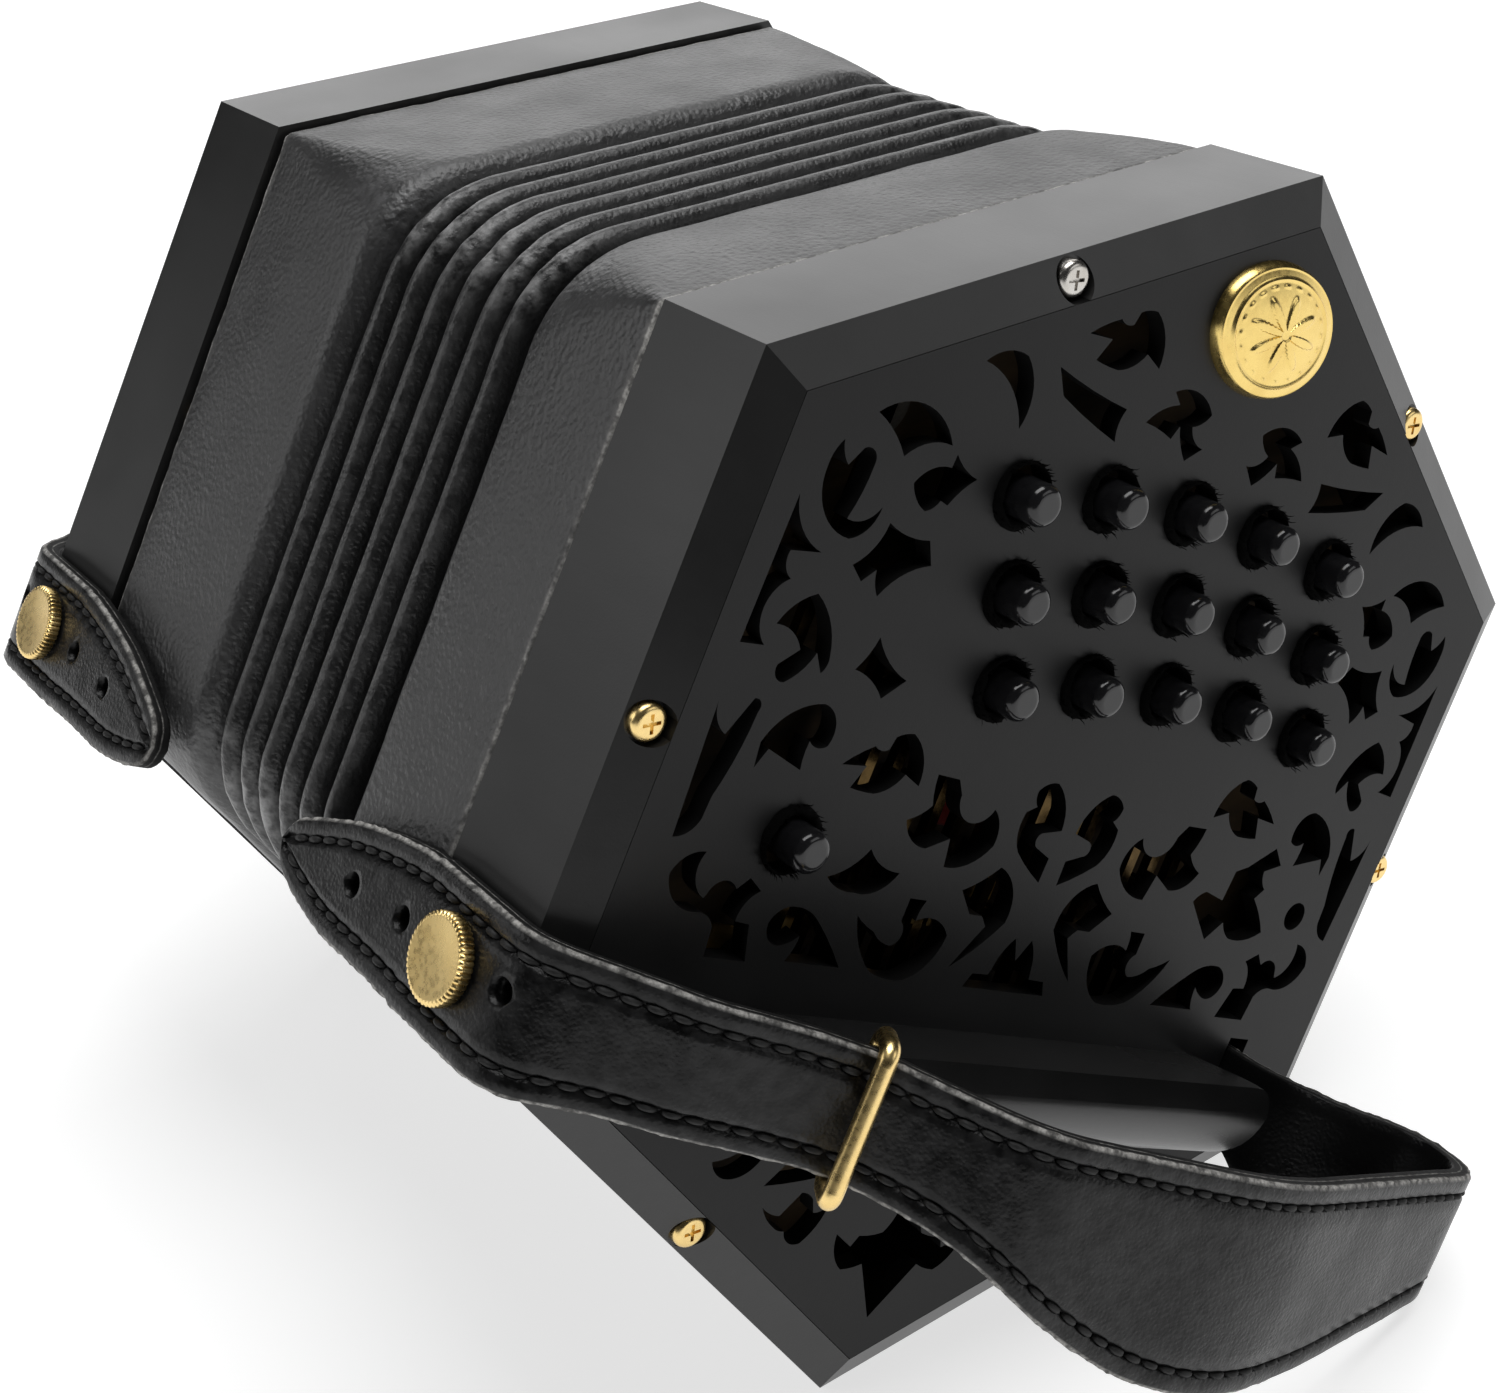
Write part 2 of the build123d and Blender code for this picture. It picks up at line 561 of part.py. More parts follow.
def thumb_screw(drop):
    """Knurled brass thumb screw, its head clear of the strap."""
    turns = [180 / KNURL_COUNT * step for step in range(2 * KNURL_COUNT)]
    rim = [
        (
            (SCREW_HEAD_RADIUS - 0.35 * (step % 2)) * math.cos(math.radians(turn)),
            (SCREW_HEAD_RADIUS - 0.35 * (step % 2)) * math.sin(math.radians(turn)),
        )
        for step, turn in enumerate(turns)
    ]
    head = extrude(Polygon(*rim, align=None), SCREW_HEAD_THICKNESS)
    bevel = Pos(0, 0, SCREW_HEAD_THICKNESS / 2) * Cylinder(SCREW_HEAD_RADIUS, SCREW_HEAD_THICKNESS)
    head &= chamfer(bevel.edges().filter_by(GeomType.CIRCLE), 0.35)
    head -= Pos(0, 0, SCREW_HEAD_THICKNESS + 59.8) * Sphere(60)
    head += Pos(0, 0, -SCREW_LENGTH / 2) * Cylinder(SCREW_SHANK_RADIUS, SCREW_LENGTH)
    low = APOTHEM + SCREW_HEAD_TOP - SCREW_HEAD_THICKNESS
    place = Plane(origin=(-low, SCREW_V - drop, SCREW_W), x_dir=(0, 1, 0), z_dir=(-1, 0, 0))
    return place * head


def strap_slider():
    """Brass wire loop that holds the doubled strap."""
    length = SLIDER_V[1] - SLIDER_V[0] - 2 * SLIDER_WIRE_RADIUS
    height = SLIDER_GAP + 2 * SLIDER_WIRE_RADIUS
    loop = RectangleRounded(length, height, 1.8).wire()
    section = Plane(origin=loop @ 0, z_dir=loop % 0) * Circle(SLIDER_WIRE_RADIUS)
    wire = sweep(section, path=loop)
    slope = math.radians(SLIDER_SLOPE)
    place = Plane(
        origin=(SLIDER_CENTRE[1], sum(SLIDER_V) / 2, SLIDER_CENTRE[0]),
        x_dir=(0, 1, 0),
        z_dir=(math.cos(slope), 0, math.sin(slope)),
    )
    return place * wire


def medallion():
    """Domed oval badge on the plate."""
    disc = Cylinder(MEDALLION_RADIUS, MEDALLION_RIM, align=(Align.CENTER, Align.CENTER, Align.MIN))
    ball = (MEDALLION_RADIUS**2 + MEDALLION_DOME**2) / (2 * MEDALLION_DOME)
    dome = Pos(0, 0, MEDALLION_RIM + MEDALLION_DOME - ball) * Sphere(ball)
    core = Pos(0, 0, MEDALLION_RIM) * Cylinder(
        MEDALLION_RADIUS, 10, align=(Align.CENTER, Align.CENTER, Align.MIN)
    )
    badge = scale(disc + (dome & core), by=(1, MEDALLION_OVAL, 1))
    return Pos(MEDALLION_CENTRE[0], MEDALLION_CENTRE[1], PLATE_FACE) * badge


def bellows_frame(band_edge):
    """Wooden frame at one end of the bellows, with the bolts' pilot holes."""
    outer = rounded_hexagon(APOTHEM - FRAME_INSET, FRAME_CORNER)
    inner = hexagon(APOTHEM - FRAME_INSET - FRAME_WALL)
    frame = ring(outer, inner, band_edge, JOINT - FRAME_GAP)
    for u, v in bolt_places():
        frame -= post(u, v, BOLT_HOLE_RADIUS, BOLT_END - 0.5, JOINT)
    return frame


def bellows_fold(index):
    """One fold of the bellows, a closed ring with the fold's outer size."""
    outer = rounded_hexagon(APOTHEM - FOLD_INSET, FOLD_CORNER)
    inner = rounded_hexagon(APOTHEM - FOLD_INSET - FOLD_DEPTH, FOLD_CORNER - 10)
    middle = FIRST_FOLD - index * FOLD_PITCH
    return ring(outer, inner, middle - FOLD_THICKNESS / 2, middle + FOLD_THICKNESS / 2)


def end_nodes(has_air_key, band_edge, drop):
    """Every node of one end in the face frame, keyed by name; drop lowers the strap's near end."""
    keys = key_list(has_air_key)
    nodes = {
        "end_plate": end_plate(keys),
        "casing": casing(drop),
        "action_board": action_board(keys),
        "lever_posts": lever_posts(keys),
        "reed_pan": reed_pan(),
        "end_bolts": end_bolts(),
        "hand_rail": hand_rail(),
        "hand_strap": hand_strap(drop),
        "strap_slider": strap_slider(),
        "thumb_screw": thumb_screw(drop),
        "bellows_frame": bellows_frame(band_edge),
    }
    for entry in keys:
        nodes[entry[0]] = key(*entry)
    return nodes


def save(name, shapes, flipped=False):
    """Place one node's solids in the row frame and write its STEP file."""
    if not isinstance(shapes, list):
        shapes = [shapes]
    solids = [FACE.location * solid for shape in shapes for solid in shape.solids()]
    if flipped:
        solids = [mirror(solid, about=Plane.YZ).solid() for solid in solids]
    export_step(Compound(solids), f"parts/{name}.step")


def main():
    """Write every node."""
    os.makedirs("parts", exist_ok=True)
    for name, shapes in end_nodes(True, RIGHT_BAND_EDGE, 0).items():
        save(f"right_{name}", shapes)
    save("right_medallion", medallion())
    for name, shapes in end_nodes(False, LEFT_BAND_EDGE, LEFT_STRAP_DROP).items():
        save(f"left_{name}", shapes, flipped=True)
    for index in range(FOLD_COUNT):
        save(f"bellows_fold_{index + 1}", bellows_fold(index))


main()
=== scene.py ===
"""Looks of the thirty-button concertina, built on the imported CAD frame.

Leather, stitching, felt and fittings are placed in each end's face frame, in millimetres: u along
the button rows, v from the hand rail up to the buttons, w away from the middle of the instrument.
"""

import math
import random

import bmesh
import bpy
from mathutils import Matrix, Vector, noise


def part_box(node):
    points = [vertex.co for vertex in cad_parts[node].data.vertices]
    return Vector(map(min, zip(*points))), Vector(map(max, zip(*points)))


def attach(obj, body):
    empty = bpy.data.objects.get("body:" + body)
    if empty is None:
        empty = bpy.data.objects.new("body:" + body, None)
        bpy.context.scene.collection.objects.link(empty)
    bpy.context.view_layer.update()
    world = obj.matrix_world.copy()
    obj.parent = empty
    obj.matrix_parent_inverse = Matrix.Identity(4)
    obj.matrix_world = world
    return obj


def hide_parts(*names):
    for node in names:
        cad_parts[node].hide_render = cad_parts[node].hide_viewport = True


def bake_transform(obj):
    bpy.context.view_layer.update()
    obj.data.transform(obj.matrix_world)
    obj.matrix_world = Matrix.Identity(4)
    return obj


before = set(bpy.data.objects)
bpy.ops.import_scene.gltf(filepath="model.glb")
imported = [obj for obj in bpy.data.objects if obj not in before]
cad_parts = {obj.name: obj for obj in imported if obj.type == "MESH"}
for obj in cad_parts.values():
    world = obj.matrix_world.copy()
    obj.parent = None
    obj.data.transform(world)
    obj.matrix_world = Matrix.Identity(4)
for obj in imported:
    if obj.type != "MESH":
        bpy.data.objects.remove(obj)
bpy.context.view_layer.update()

MM = 0.001
COS30 = math.cos(math.pi / 6)
TAN30 = math.tan(math.pi / 6)
SIDES = {"right": 1, "left": -1}

casing_low, casing_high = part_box("right_casing")
MID_Y = (casing_low.y + casing_high.y) / 2 / MM
MID_Z = (casing_low.z + casing_high.z) / 2 / MM
APOTHEM = (casing_high.z - casing_low.z) / 2 / MM
PLATE_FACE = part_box("right_end_plate")[1].x / MM
JOINT = casing_low.x / MM
FOLD_COUNT = 6


def place(u, v, w, side=1):
    """A point of one end's face frame as a point of the row frame."""
    y = MID_Y + COS30 * u + 0.5 * v
    z = MID_Z - 0.5 * u + COS30 * v
    return Vector((side * w, y, z)) * MM


def face_of(point):
    """The face-frame (u, v) of a row-frame point."""
    y = point.y / MM - MID_Y
    z = point.z / MM - MID_Z
    return COS30 * y - 0.5 * z, 0.5 * y + COS30 * z


def smooth(x):
    """Smooth step from 0 to 1."""
    x = min(1.0, max(0.0, x))
    return x * x * (3 - 2 * x)


def wobble(point, size, seed=0.0):
    """Repeatable noise from -1 to 1 at a point in millimetres, with features of the given size."""
    return noise.noise(Vector(point) / size + Vector((seed * 7.3, seed * 3.1, seed * 1.7)))


# ---------------------------------------------------------------- meshes

def new_object(name, points, faces, material, body=None):
    """A mesh piece from points in the row frame."""
    mesh = bpy.data.meshes.new(name)
    mesh.from_pydata([tuple(p) for p in points], [], faces)
    mesh.materials.append(material)
    work = bmesh.new()
    work.from_mesh(mesh)
    bmesh.ops.recalc_face_normals(work, faces=work.faces)
    if work.calc_volume(signed=True) < 0:
        bmesh.ops.reverse_faces(work, faces=work.faces)
    work.to_mesh(mesh)
    work.free()
    mesh.polygons.foreach_set("use_smooth", [True] * len(mesh.polygons))
    piece = bpy.data.objects.new(name, mesh)
    bpy.context.scene.collection.objects.link(piece)
    if body:
        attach(piece, body)
    return piece


def paint(piece, name, values):
    """Store one number per vertex for the material to read."""
    attribute = piece.data.attributes.new(name, "FLOAT", "POINT")
    attribute.data.foreach_set("value", values)


def grid_faces(rows, columns, close_rows, close_columns, first=0):
    """Quads over a grid of points stored row by row."""
    faces = []
    for i in range(rows if close_rows else rows - 1):
        for j in range(columns if close_columns else columns - 1):
            a = i * columns + j
            b = i * columns + (j + 1) % columns
            c = (i + 1) % rows * columns + (j + 1) % columns
            d = (i + 1) % rows * columns + j
            faces.append([first + k for k in (a, b, c, d)])
    return faces


def hexagon_loop(apothem, corner, straight=22, arc=12):
    """Points (u, v) and outward normals round a hexagon with rounded corners."""
    loop = []
    half = (apothem - corner) * TAN30
    reach = (apothem - corner) / COS30
    for k in range(6):
        turn = math.radians(60 * k)
        c, s = math.cos(turn), math.sin(turn)
        for i in range(straight):
            t = -half + 2 * half * i / straight
            loop.append((apothem * c - t * s, apothem * s + t * c, c, s, 0.0))
        cu, cv = reach * math.cos(turn + math.pi / 6), reach * math.sin(turn + math.pi / 6)
        for j in range(arc):
            a = turn + math.radians(60 * j / arc)
            cornerness = math.sin(math.pi * j / arc)
            loop.append((
                cu + corner * math.cos(a), cv + corner * math.sin(a),
                math.cos(a), math.sin(a), cornerness,
            ))
    return loop


# ---------------------------------------------------------------- materials

def shader(name, colour, roughness, **sockets):
    """A principled material and its node tree."""
    material = bpy.data.materials.new(name)
    material.use_nodes = True
    tree = material.node_tree
    principled = tree.nodes["Principled BSDF"]
    principled.inputs["Base Color"].default_value = (*colour, 1)
    principled.inputs["Roughness"].default_value = roughness
    for socket, value in sockets.items():
        principled.inputs[socket.replace("_", " ")].default_value = value
    return material, tree, principled


def node(tree, kind, inputs=None, **settings):
    """Add a node, set its properties and its inputs, which may be values or output sockets."""
    made = tree.nodes.new(kind)
    for key, value in settings.items():
        setattr(made, key, value)
    for key, value in (inputs or {}).items():
        if isinstance(value, bpy.types.NodeSocket):
            tree.links.new(value, made.inputs[key])
        else:
            made.inputs[key].default_value = value
    return made


def position(tree):
    """Position in the row frame, in metres."""
    return node(tree, "ShaderNodeTexCoord").outputs["Object"]


def noise_at(tree, scale, detail=2.0, rough=0.5, stretch=None):
    """Noise over the position; scale is features per metre."""
    where = position(tree)
    if stretch:
        where = node(tree, "ShaderNodeMapping", {"Vector": where, "Scale": stretch}).outputs[0]
    made = node(tree, "ShaderNodeTexNoise", {
        "Vector": where, "Scale": scale, "Detail": detail, "Roughness": rough,
    })
    return made.outputs["Fac"]


def ramp(tree, value, low, high, to_low=0.0, to_high=1.0):
    """Map a value from one range to another, clamped."""
    return node(tree, "ShaderNodeMapRange", {
        "Value": value, "From Min": low, "From Max": high, "To Min": to_low, "To Max": to_high,
    }).outputs["Result"]


def mix(tree, factor, first, second):
    """Mix two colours, each a triple or an output socket."""
    made = node(tree, "ShaderNodeMix", data_type="RGBA")
    for key, value in ((0, factor), (6, first), (7, second)):
        if isinstance(value, bpy.types.NodeSocket):
            tree.links.new(value, made.inputs[key])
        else:
            made.inputs[key].default_value = (*value, 1) if isinstance(value, tuple) else value
    return made.outputs[2]


def maths(tree, operation, first, second=0.0):
    """One arithmetic step."""
    made = node(tree, "ShaderNodeMath", {0: first, 1: second}, operation=operation)
    return made.outputs[0]


def bump(tree, principled, *layers):
    """Stack bump layers, each (height socket, distance in metres, strength)."""
    normal = None
    for height, distance, strength in layers:
        inputs = {"Height": height, "Distance": distance, "Strength": strength}
        if normal is not None:
            inputs["Normal"] = normal
        normal = node(tree, "ShaderNodeBump", inputs).outputs[0]
    tree.links.new(normal, principled.inputs["Normal"])


def link(tree, socket, principled, name):
    """Drive one shader input."""
    tree.links.new(socket, principled.inputs[name])


def attribute(tree, name):
    """A number stored on the mesh."""
    return node(tree, "ShaderNodeAttribute", attribute_name=name).outputs["Fac"]


def leather(name, colour, roughness, grain_size, grain_depth, worn_and_lit=(0.11, 0.11, 0.112), specular=0.5):
    """Black leather: pebbled grain, uneven sheen, worn crests that also carry a painted highlight, and
    raw fibre at cut edges.
    """
    material, tree, principled = shader(name, colour, roughness, Specular_IOR_Level=specular)
    cells = node(tree, "ShaderNodeTexVoronoi", {
        "Vector": position(tree), "Scale": 1 / (grain_size * MM),
    }, feature="SMOOTH_F1").outputs["Distance"]
    fine = noise_at(tree, 1 / (grain_size * 0.4 * MM), 3)
    broad = noise_at(tree, 90, 3)
    tint = mix(tree, ramp(tree, broad, 0.3, 0.7), colour, tuple(c * 1.5 for c in colour))
    # Wear patches lighten the leather towards the worn colour: real wear, and on fold crests and band
    # corners also a painted highlight.
    wear_and_highlight = attribute(tree, "wear_and_highlight")
    patch = maths(tree, "MULTIPLY", wear_and_highlight, ramp(tree, noise_at(tree, 420, 4), 0.38, 0.62))
    tint = mix(tree, patch, tint, worn_and_lit)
    fibre, edge = attribute(tree, "fibre"), attribute(tree, "edge")
    tint = mix(tree, edge, tint, (0.004, 0.004, 0.004))
    fibre_tone = mix(tree, noise_at(tree, 2600, 3), (0.03, 0.029, 0.027), (0.85, 0.83, 0.79))
    ragged = ramp(tree, noise_at(tree, 800, 3), 0.38, 0.6, 0.25, 1.0)
    tint = mix(tree, maths(tree, "MULTIPLY", fibre, ragged), tint, fibre_tone)
    link(tree, tint, principled, "Base Color")
    dull = ramp(tree, broad, 0.3, 0.7, roughness - 0.05, roughness + 0.07)
    dull = maths(tree, "ADD", dull, maths(tree, "MULTIPLY", maths(tree, "MAXIMUM", fibre, edge), 0.45))
    link(tree, dull, principled, "Roughness")
    bump(
        tree, principled,
        (cells, grain_depth * MM, 0.7),
        (fine, grain_depth * 0.6 * MM, 0.5),
    )
    return material


def black_wood(name, colour, roughness, grain, specular=0.5):
    """Satin black stained wood with faint long grain along the casing."""
    material, tree, principled = shader(name, colour, roughness, Specular_IOR_Level=specular)
    long_grain = noise_at(tree, 260, 5, 0.6, stretch=(0.18, 1.0, 1.0))
    broad = noise_at(tree, 28, 3)
    tint = mix(tree, ramp(tree, long_grain, 0.35, 0.7), colour, tuple(c * (1 + grain) for c in colour))
    tint = mix(tree, ramp(tree, broad, 0.3, 0.75), tint, tuple(c * 1.35 for c in colour))
    link(tree, tint, principled, "Base Color")
    satin = ramp(tree, broad, 0.25, 0.75, roughness - 0.05, roughness + 0.06)
    link(tree, satin, principled, "Roughness")
    bump(
        tree, principled,
        (long_grain, 0.05 * MM, 0.35),
        (noise_at(tree, 3200, 2), 0.02 * MM, 0.5),
    )
    return material


def metal(name, colour, tarnish, roughness):
    """Worn metal with tarnish in patches and fine scratches."""
    material, tree, principled = shader(name, colour, roughness, Metallic=1.0)
    patches = ramp(tree, noise_at(tree, 190, 3), 0.45, 0.8)
    tint = mix(tree, patches, colour, tarnish)
    link(tree, tint, principled, "Base Color")
    scratches = noise_at(tree, 1100, 2, 0.5)
    polish = ramp(tree, scratches, 0.3, 0.7, roughness - 0.04, roughness + 0.06)
    link(tree, polish, principled, "Roughness")
    bump(tree, principled, (scratches, 0.004 * MM, 0.3))
    return material


def key_material():
    """Black button above the lever, brass lever darkened with painted shade, and a pale leather pad on
    the board.
    """
    material, tree, principled = shader("key_layers", (0.01, 0.01, 0.01), 0.3)
    split = node(tree, "ShaderNodeSeparateXYZ", {"Vector": position(tree)})
    w = maths(tree, "DIVIDE", maths(tree, "ABSOLUTE", split.outputs[0]), MM)
    button = maths(tree, "GREATER_THAN", w, 64.95)
    pad = maths(tree, "LESS_THAN", w, 62.3)
    grime = noise_at(tree, 700, 4)
    # The lever brass is kept far darker than the brass fittings: painted shade for the levers inside the
    # end.
    brass = mix(tree, grime, (0.11, 0.07, 0.024), (0.03, 0.018, 0.007))
    felt = mix(tree, noise_at(tree, 1800, 4), (0.20, 0.18, 0.15), (0.08, 0.07, 0.06))
    black = mix(tree, grime, (0.006, 0.006, 0.007), (0.014, 0.014, 0.015))
    tint = mix(tree, pad, mix(tree, button, brass, black), felt)
    link(tree, tint, principled, "Base Color")
    middle = maths(tree, "SUBTRACT", 1.0, maths(tree, "ADD", button, pad))
    link(tree, middle, principled, "Metallic")
    scuffs = noise_at(tree, 1500, 4)
    polish = ramp(tree, scuffs, 0.35, 0.75, 0.13, 0.22)
    link(tree, maths(tree, "ADD", polish, maths(tree, "MULTIPLY", pad, 0.6)), principled, "Roughness")
    bump(tree, principled, (scuffs, 0.01 * MM, 0.3))
    return material


def wood(name, light, dark, roughness):
    """Bare wood with rings and pores."""
    material, tree, principled = shader(name, light, roughness)
    rings = noise_at(tree, 120, 6, 0.6, stretch=(1.0, 0.12, 1.0))
    link(tree, mix(tree, ramp(tree, rings, 0.3, 0.7), light, dark), principled, "Base Color")
    bump(tree, principled, (rings, 0.08 * MM, 0.4))
    return material


def felt_cloth(name, dark, light, sheen):
    """Matted felt."""
    material, tree, principled = shader(
        name, dark, 1.0, Specular_IOR_Level=0.08, Sheen_Weight=sheen, Sheen_Roughness=0.6,
    )
    fuzz = noise_at(tree, 1500, 5, 0.7)
    link(tree, mix(tree, fuzz, dark, light), principled, "Base Color")
    bump(tree, principled, (fuzz, 0.2 * MM, 0.8))
    return material


def thread():
    """Waxed black thread."""
    material, tree, principled = shader("thread", (0.003, 0.003, 0.003), 0.7)
    twist = node(tree, "ShaderNodeTexWave", {
        "Vector": position(tree), "Scale": 380.0, "Distortion": 1.5,
    }, bands_direction="DIAGONAL").outputs["Fac"]
    link(tree, mix(tree, twist, (0.001, 0.001, 0.001), (0.010, 0.010, 0.010)), principled, "Base Color")
    bump(tree, principled, (twist, 0.08 * MM, 0.6))
    return material


BELLOWS_LEATHER = leather("bellows_leather", (0.017, 0.017, 0.0173), 0.40, 0.8, 0.20, specular=0.7)
# The pale worn colour of the fold leather is partly a painted highlight on the crests.
FOLD_LEATHER = leather("fold_leather", (0.008, 0.008, 0.0082), 0.36, 0.6, 0.14, worn_and_lit=(0.26, 0.26, 0.26))
STRAP_LEATHER = leather("strap_leather", (0.003, 0.003, 0.0031), 0.30, 0.55, 0.10, specular=0.22)
CASING_WOOD = black_wood("casing_wood", (0.010, 0.010, 0.010), 0.33, 0.5)
PLATE_WOOD = black_wood("plate_wood", (0.007, 0.007, 0.0072), 0.36, 0.15, specular=0.20)
RAIL_WOOD = black_wood("rail_wood", (0.005, 0.005, 0.005), 0.24, 0.4)
BRASS = metal("brass", (0.90, 0.67, 0.29), (0.80, 0.57, 0.22), 0.27)
NICKEL = metal("nickel", (0.62, 0.60, 0.57), (0.42, 0.38, 0.32), 0.26)
# Brass of the lever posts inside the end, kept far darker than the other brass: painted shade.
SHADED_ACTION_BRASS = metal("action_brass", (0.15, 0.10, 0.035), (0.06, 0.04, 0.015), 0.45)
GOLD = metal("gold", (0.86, 0.64, 0.22), (0.76, 0.54, 0.17), 0.24)
KEY = key_material()
BOARD_WOOD = wood("board_wood", (0.12, 0.07, 0.022), (0.012, 0.007, 0.003), 0.7)
PACKING_WOOD = wood("packing_wood", (0.70, 0.45, 0.10), (0.50, 0.30, 0.06), 0.5)
PAN_WOOD = wood("pan_wood", (0.50, 0.36, 0.20), (0.36, 0.24, 0.12), 0.6)
# Felt of the button bushings, almost fully black: real black felt, darkened further as painted shade
# round the stems.
BLACK_FELT_AND_SHADE = felt_cloth("black_felt_and_shade", (0.0005, 0.0005, 0.0005), (0.003, 0.003, 0.003), 0.0)
RED_FELT = felt_cloth("red_felt", (0.24, 0.012, 0.010), (0.42, 0.03, 0.02), 0.3)
THREAD = thread()


# ---------------------------------------------------------------- bellows

JOINT_GAP = 1.2


def bellows_band(name, side):
    """Leather over one bellows frame: sharp six-sided at the casing, soft and round at the folds."""
    low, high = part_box(f"{name}_bellows_frame")
    edge = min(abs(low.x), abs(high.x)) / MM
    joint = JOINT - JOINT_GAP
    stations = [(joint, 5.0, 0.0), (joint, 1.7, 0.0), (joint, 1.25, 0.1), (joint - 0.1, 0.95, 1.0)]
    stations += [(joint - 0.55, 0.74, 1.0), (joint - 0.9, 0.72, 0.15)]
    steps = 26
    roll = 4.2
    for i in range(1, steps + 1):
        stations.append((joint - 0.9 - (joint - 0.9 - edge - roll) * i / steps, 0.72, 0.0))
    for i in range(1, 9):
        a = math.radians(90 * i / 8)
        stations.append((edge + roll * (1 - math.sin(a)), 0.72 + roll * (1 - math.cos(a)), 0.0))
    stations.append((edge, 13.0, 0.0))
    points, fibres, wear_and_highlights = [], [], []
    for w, inset, fibre in stations:
        along = (joint - w) / (joint - edge)
        corner = 1.2 + 22.0 * along**1.15
        crown = 0.35 * math.sin(math.pi * min(1.0, along))
        for u, v, nu, nv, cornerness in hexagon_loop(APOTHEM - inset, max(corner, 1.2), 30, 12):
            dent = 0.16 * wobble((u, v, w), 9, side) + 0.05 * wobble((u, v, w), 2.2, side)
            frayed = fibre * 0.22 * wobble((u, v, w), 0.8, side + 4)
            push = crown + dent * min(1.0, along * 8) + frayed
            points.append(place(u + nu * push, v + nv * push, w + frayed * 0.6, side))
            fibres.append(fibre * (1.0 if v > 30 else 0.5))
            # Lighter corners near the folds: partly wear, partly a painted highlight.
            wear_and_highlights.append(cornerness**2 * smooth((along - 0.55) * 4) * 0.6)
    columns = len(hexagon_loop(APOTHEM, 5, 30, 12))
    rows = len(stations)
    faces = grid_faces(rows, columns, False, True)
    # An inner wall closes the band into a solid ring.
    inner_first = len(points)
    for w in (edge, joint):
        for u, v, _, _, _ in hexagon_loop(APOTHEM - 13.0, 10, 30, 12):
            points.append(place(u, v, w, side))
            fibres.append(0.0)
            wear_and_highlights.append(0.0)
    last = (rows - 1) * columns
    for j in range(columns):
        k = (j + 1) % columns
        near, far = inner_first, inner_first + columns
        faces.append([last + j, last + k, near + k, near + j])
        faces.append([near + j, near + k, far + k, far + j])
        faces.append([far + j, far + k, k, j])
    piece = new_object(
        f"{name}_bellows_band", points, faces, BELLOWS_LEATHER, f"{name}_end",
    )
    paint(piece, "fibre", fibres)
    paint(piece, "wear_and_highlight", wear_and_highlights)
    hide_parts(f"{name}_bellows_frame")


FOLD_PROFILE = [
    (-2.45, 5.2), (-2.38, 4.0), (-2.2, 2.6), (-1.9, 1.5), (-1.45, 0.75), (-0.9, 0.28), (-0.4, 0.06),
    (0.4, 0.06), (0.9, 0.28), (1.45, 0.75), (1.9, 1.5), (2.2, 2.6), (2.38, 4.0), (2.45, 5.2),
    (1.2, 6.2), (-1.2, 6.2),
]


def fold_middle(index):
    """Station of one fold's crest along X, in millimetres."""
    low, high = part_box(f"bellows_fold_{index}")
    return (low.x + high.x) / 2 / MM


def bellows_ridge(index):
    """The leather crest of one fold."""
    middle = fold_middle(index)
    points, wear_and_highlights, fibres = [], [], []
    apothem = APOTHEM - 1.0
    loop = hexagon_loop(apothem, 22.0, 34, 18)
    for u, v, nu, nv, cornerness in loop:
        drift = 0.35 * wobble((u, v, index * 40), 32, index) + 0.12 * wobble((u, v, index * 9), 6, index)
        swell = 0.3 * wobble((u, v, index * 13), 45, index + 9)
        crumple = cornerness * 0.28 * wobble((u, v, index * 17), 3.2, index)
        for offset, depth in FOLD_PROFILE:
            wide = 1.0 + 0.1 * wobble((u, v, index * 21), 20, index + 5)
            inward = depth + swell * 0.5 + 0.25 + crumple * (1.0 if depth < 3 else 0.0)
            reach = inward + 0.05 * wobble((u, v, offset * 2), 1.6, index + 2)
            station = middle + offset * wide + drift * (depth < 5)
            points.append(place(u - nu * reach, v - nv * reach, station))
            # Lighter crests, strongest at the corners: partly wear, partly a painted highlight.
            crest = 1.0 - smooth(depth / 2.2)
            wear_and_highlights.append(crest * (0.12 + 0.88 * cornerness**2))
            fibres.append(0.0)
    faces = grid_faces(len(loop), len(FOLD_PROFILE), True, True)
    piece = new_object(
        f"fold_leather_{index}", points, faces, FOLD_LEATHER, f"fold_{index}",
    )
    paint(piece, "wear_and_highlight", wear_and_highlights)
    paint(piece, "fibre", fibres)
    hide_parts(f"bellows_fold_{index}")


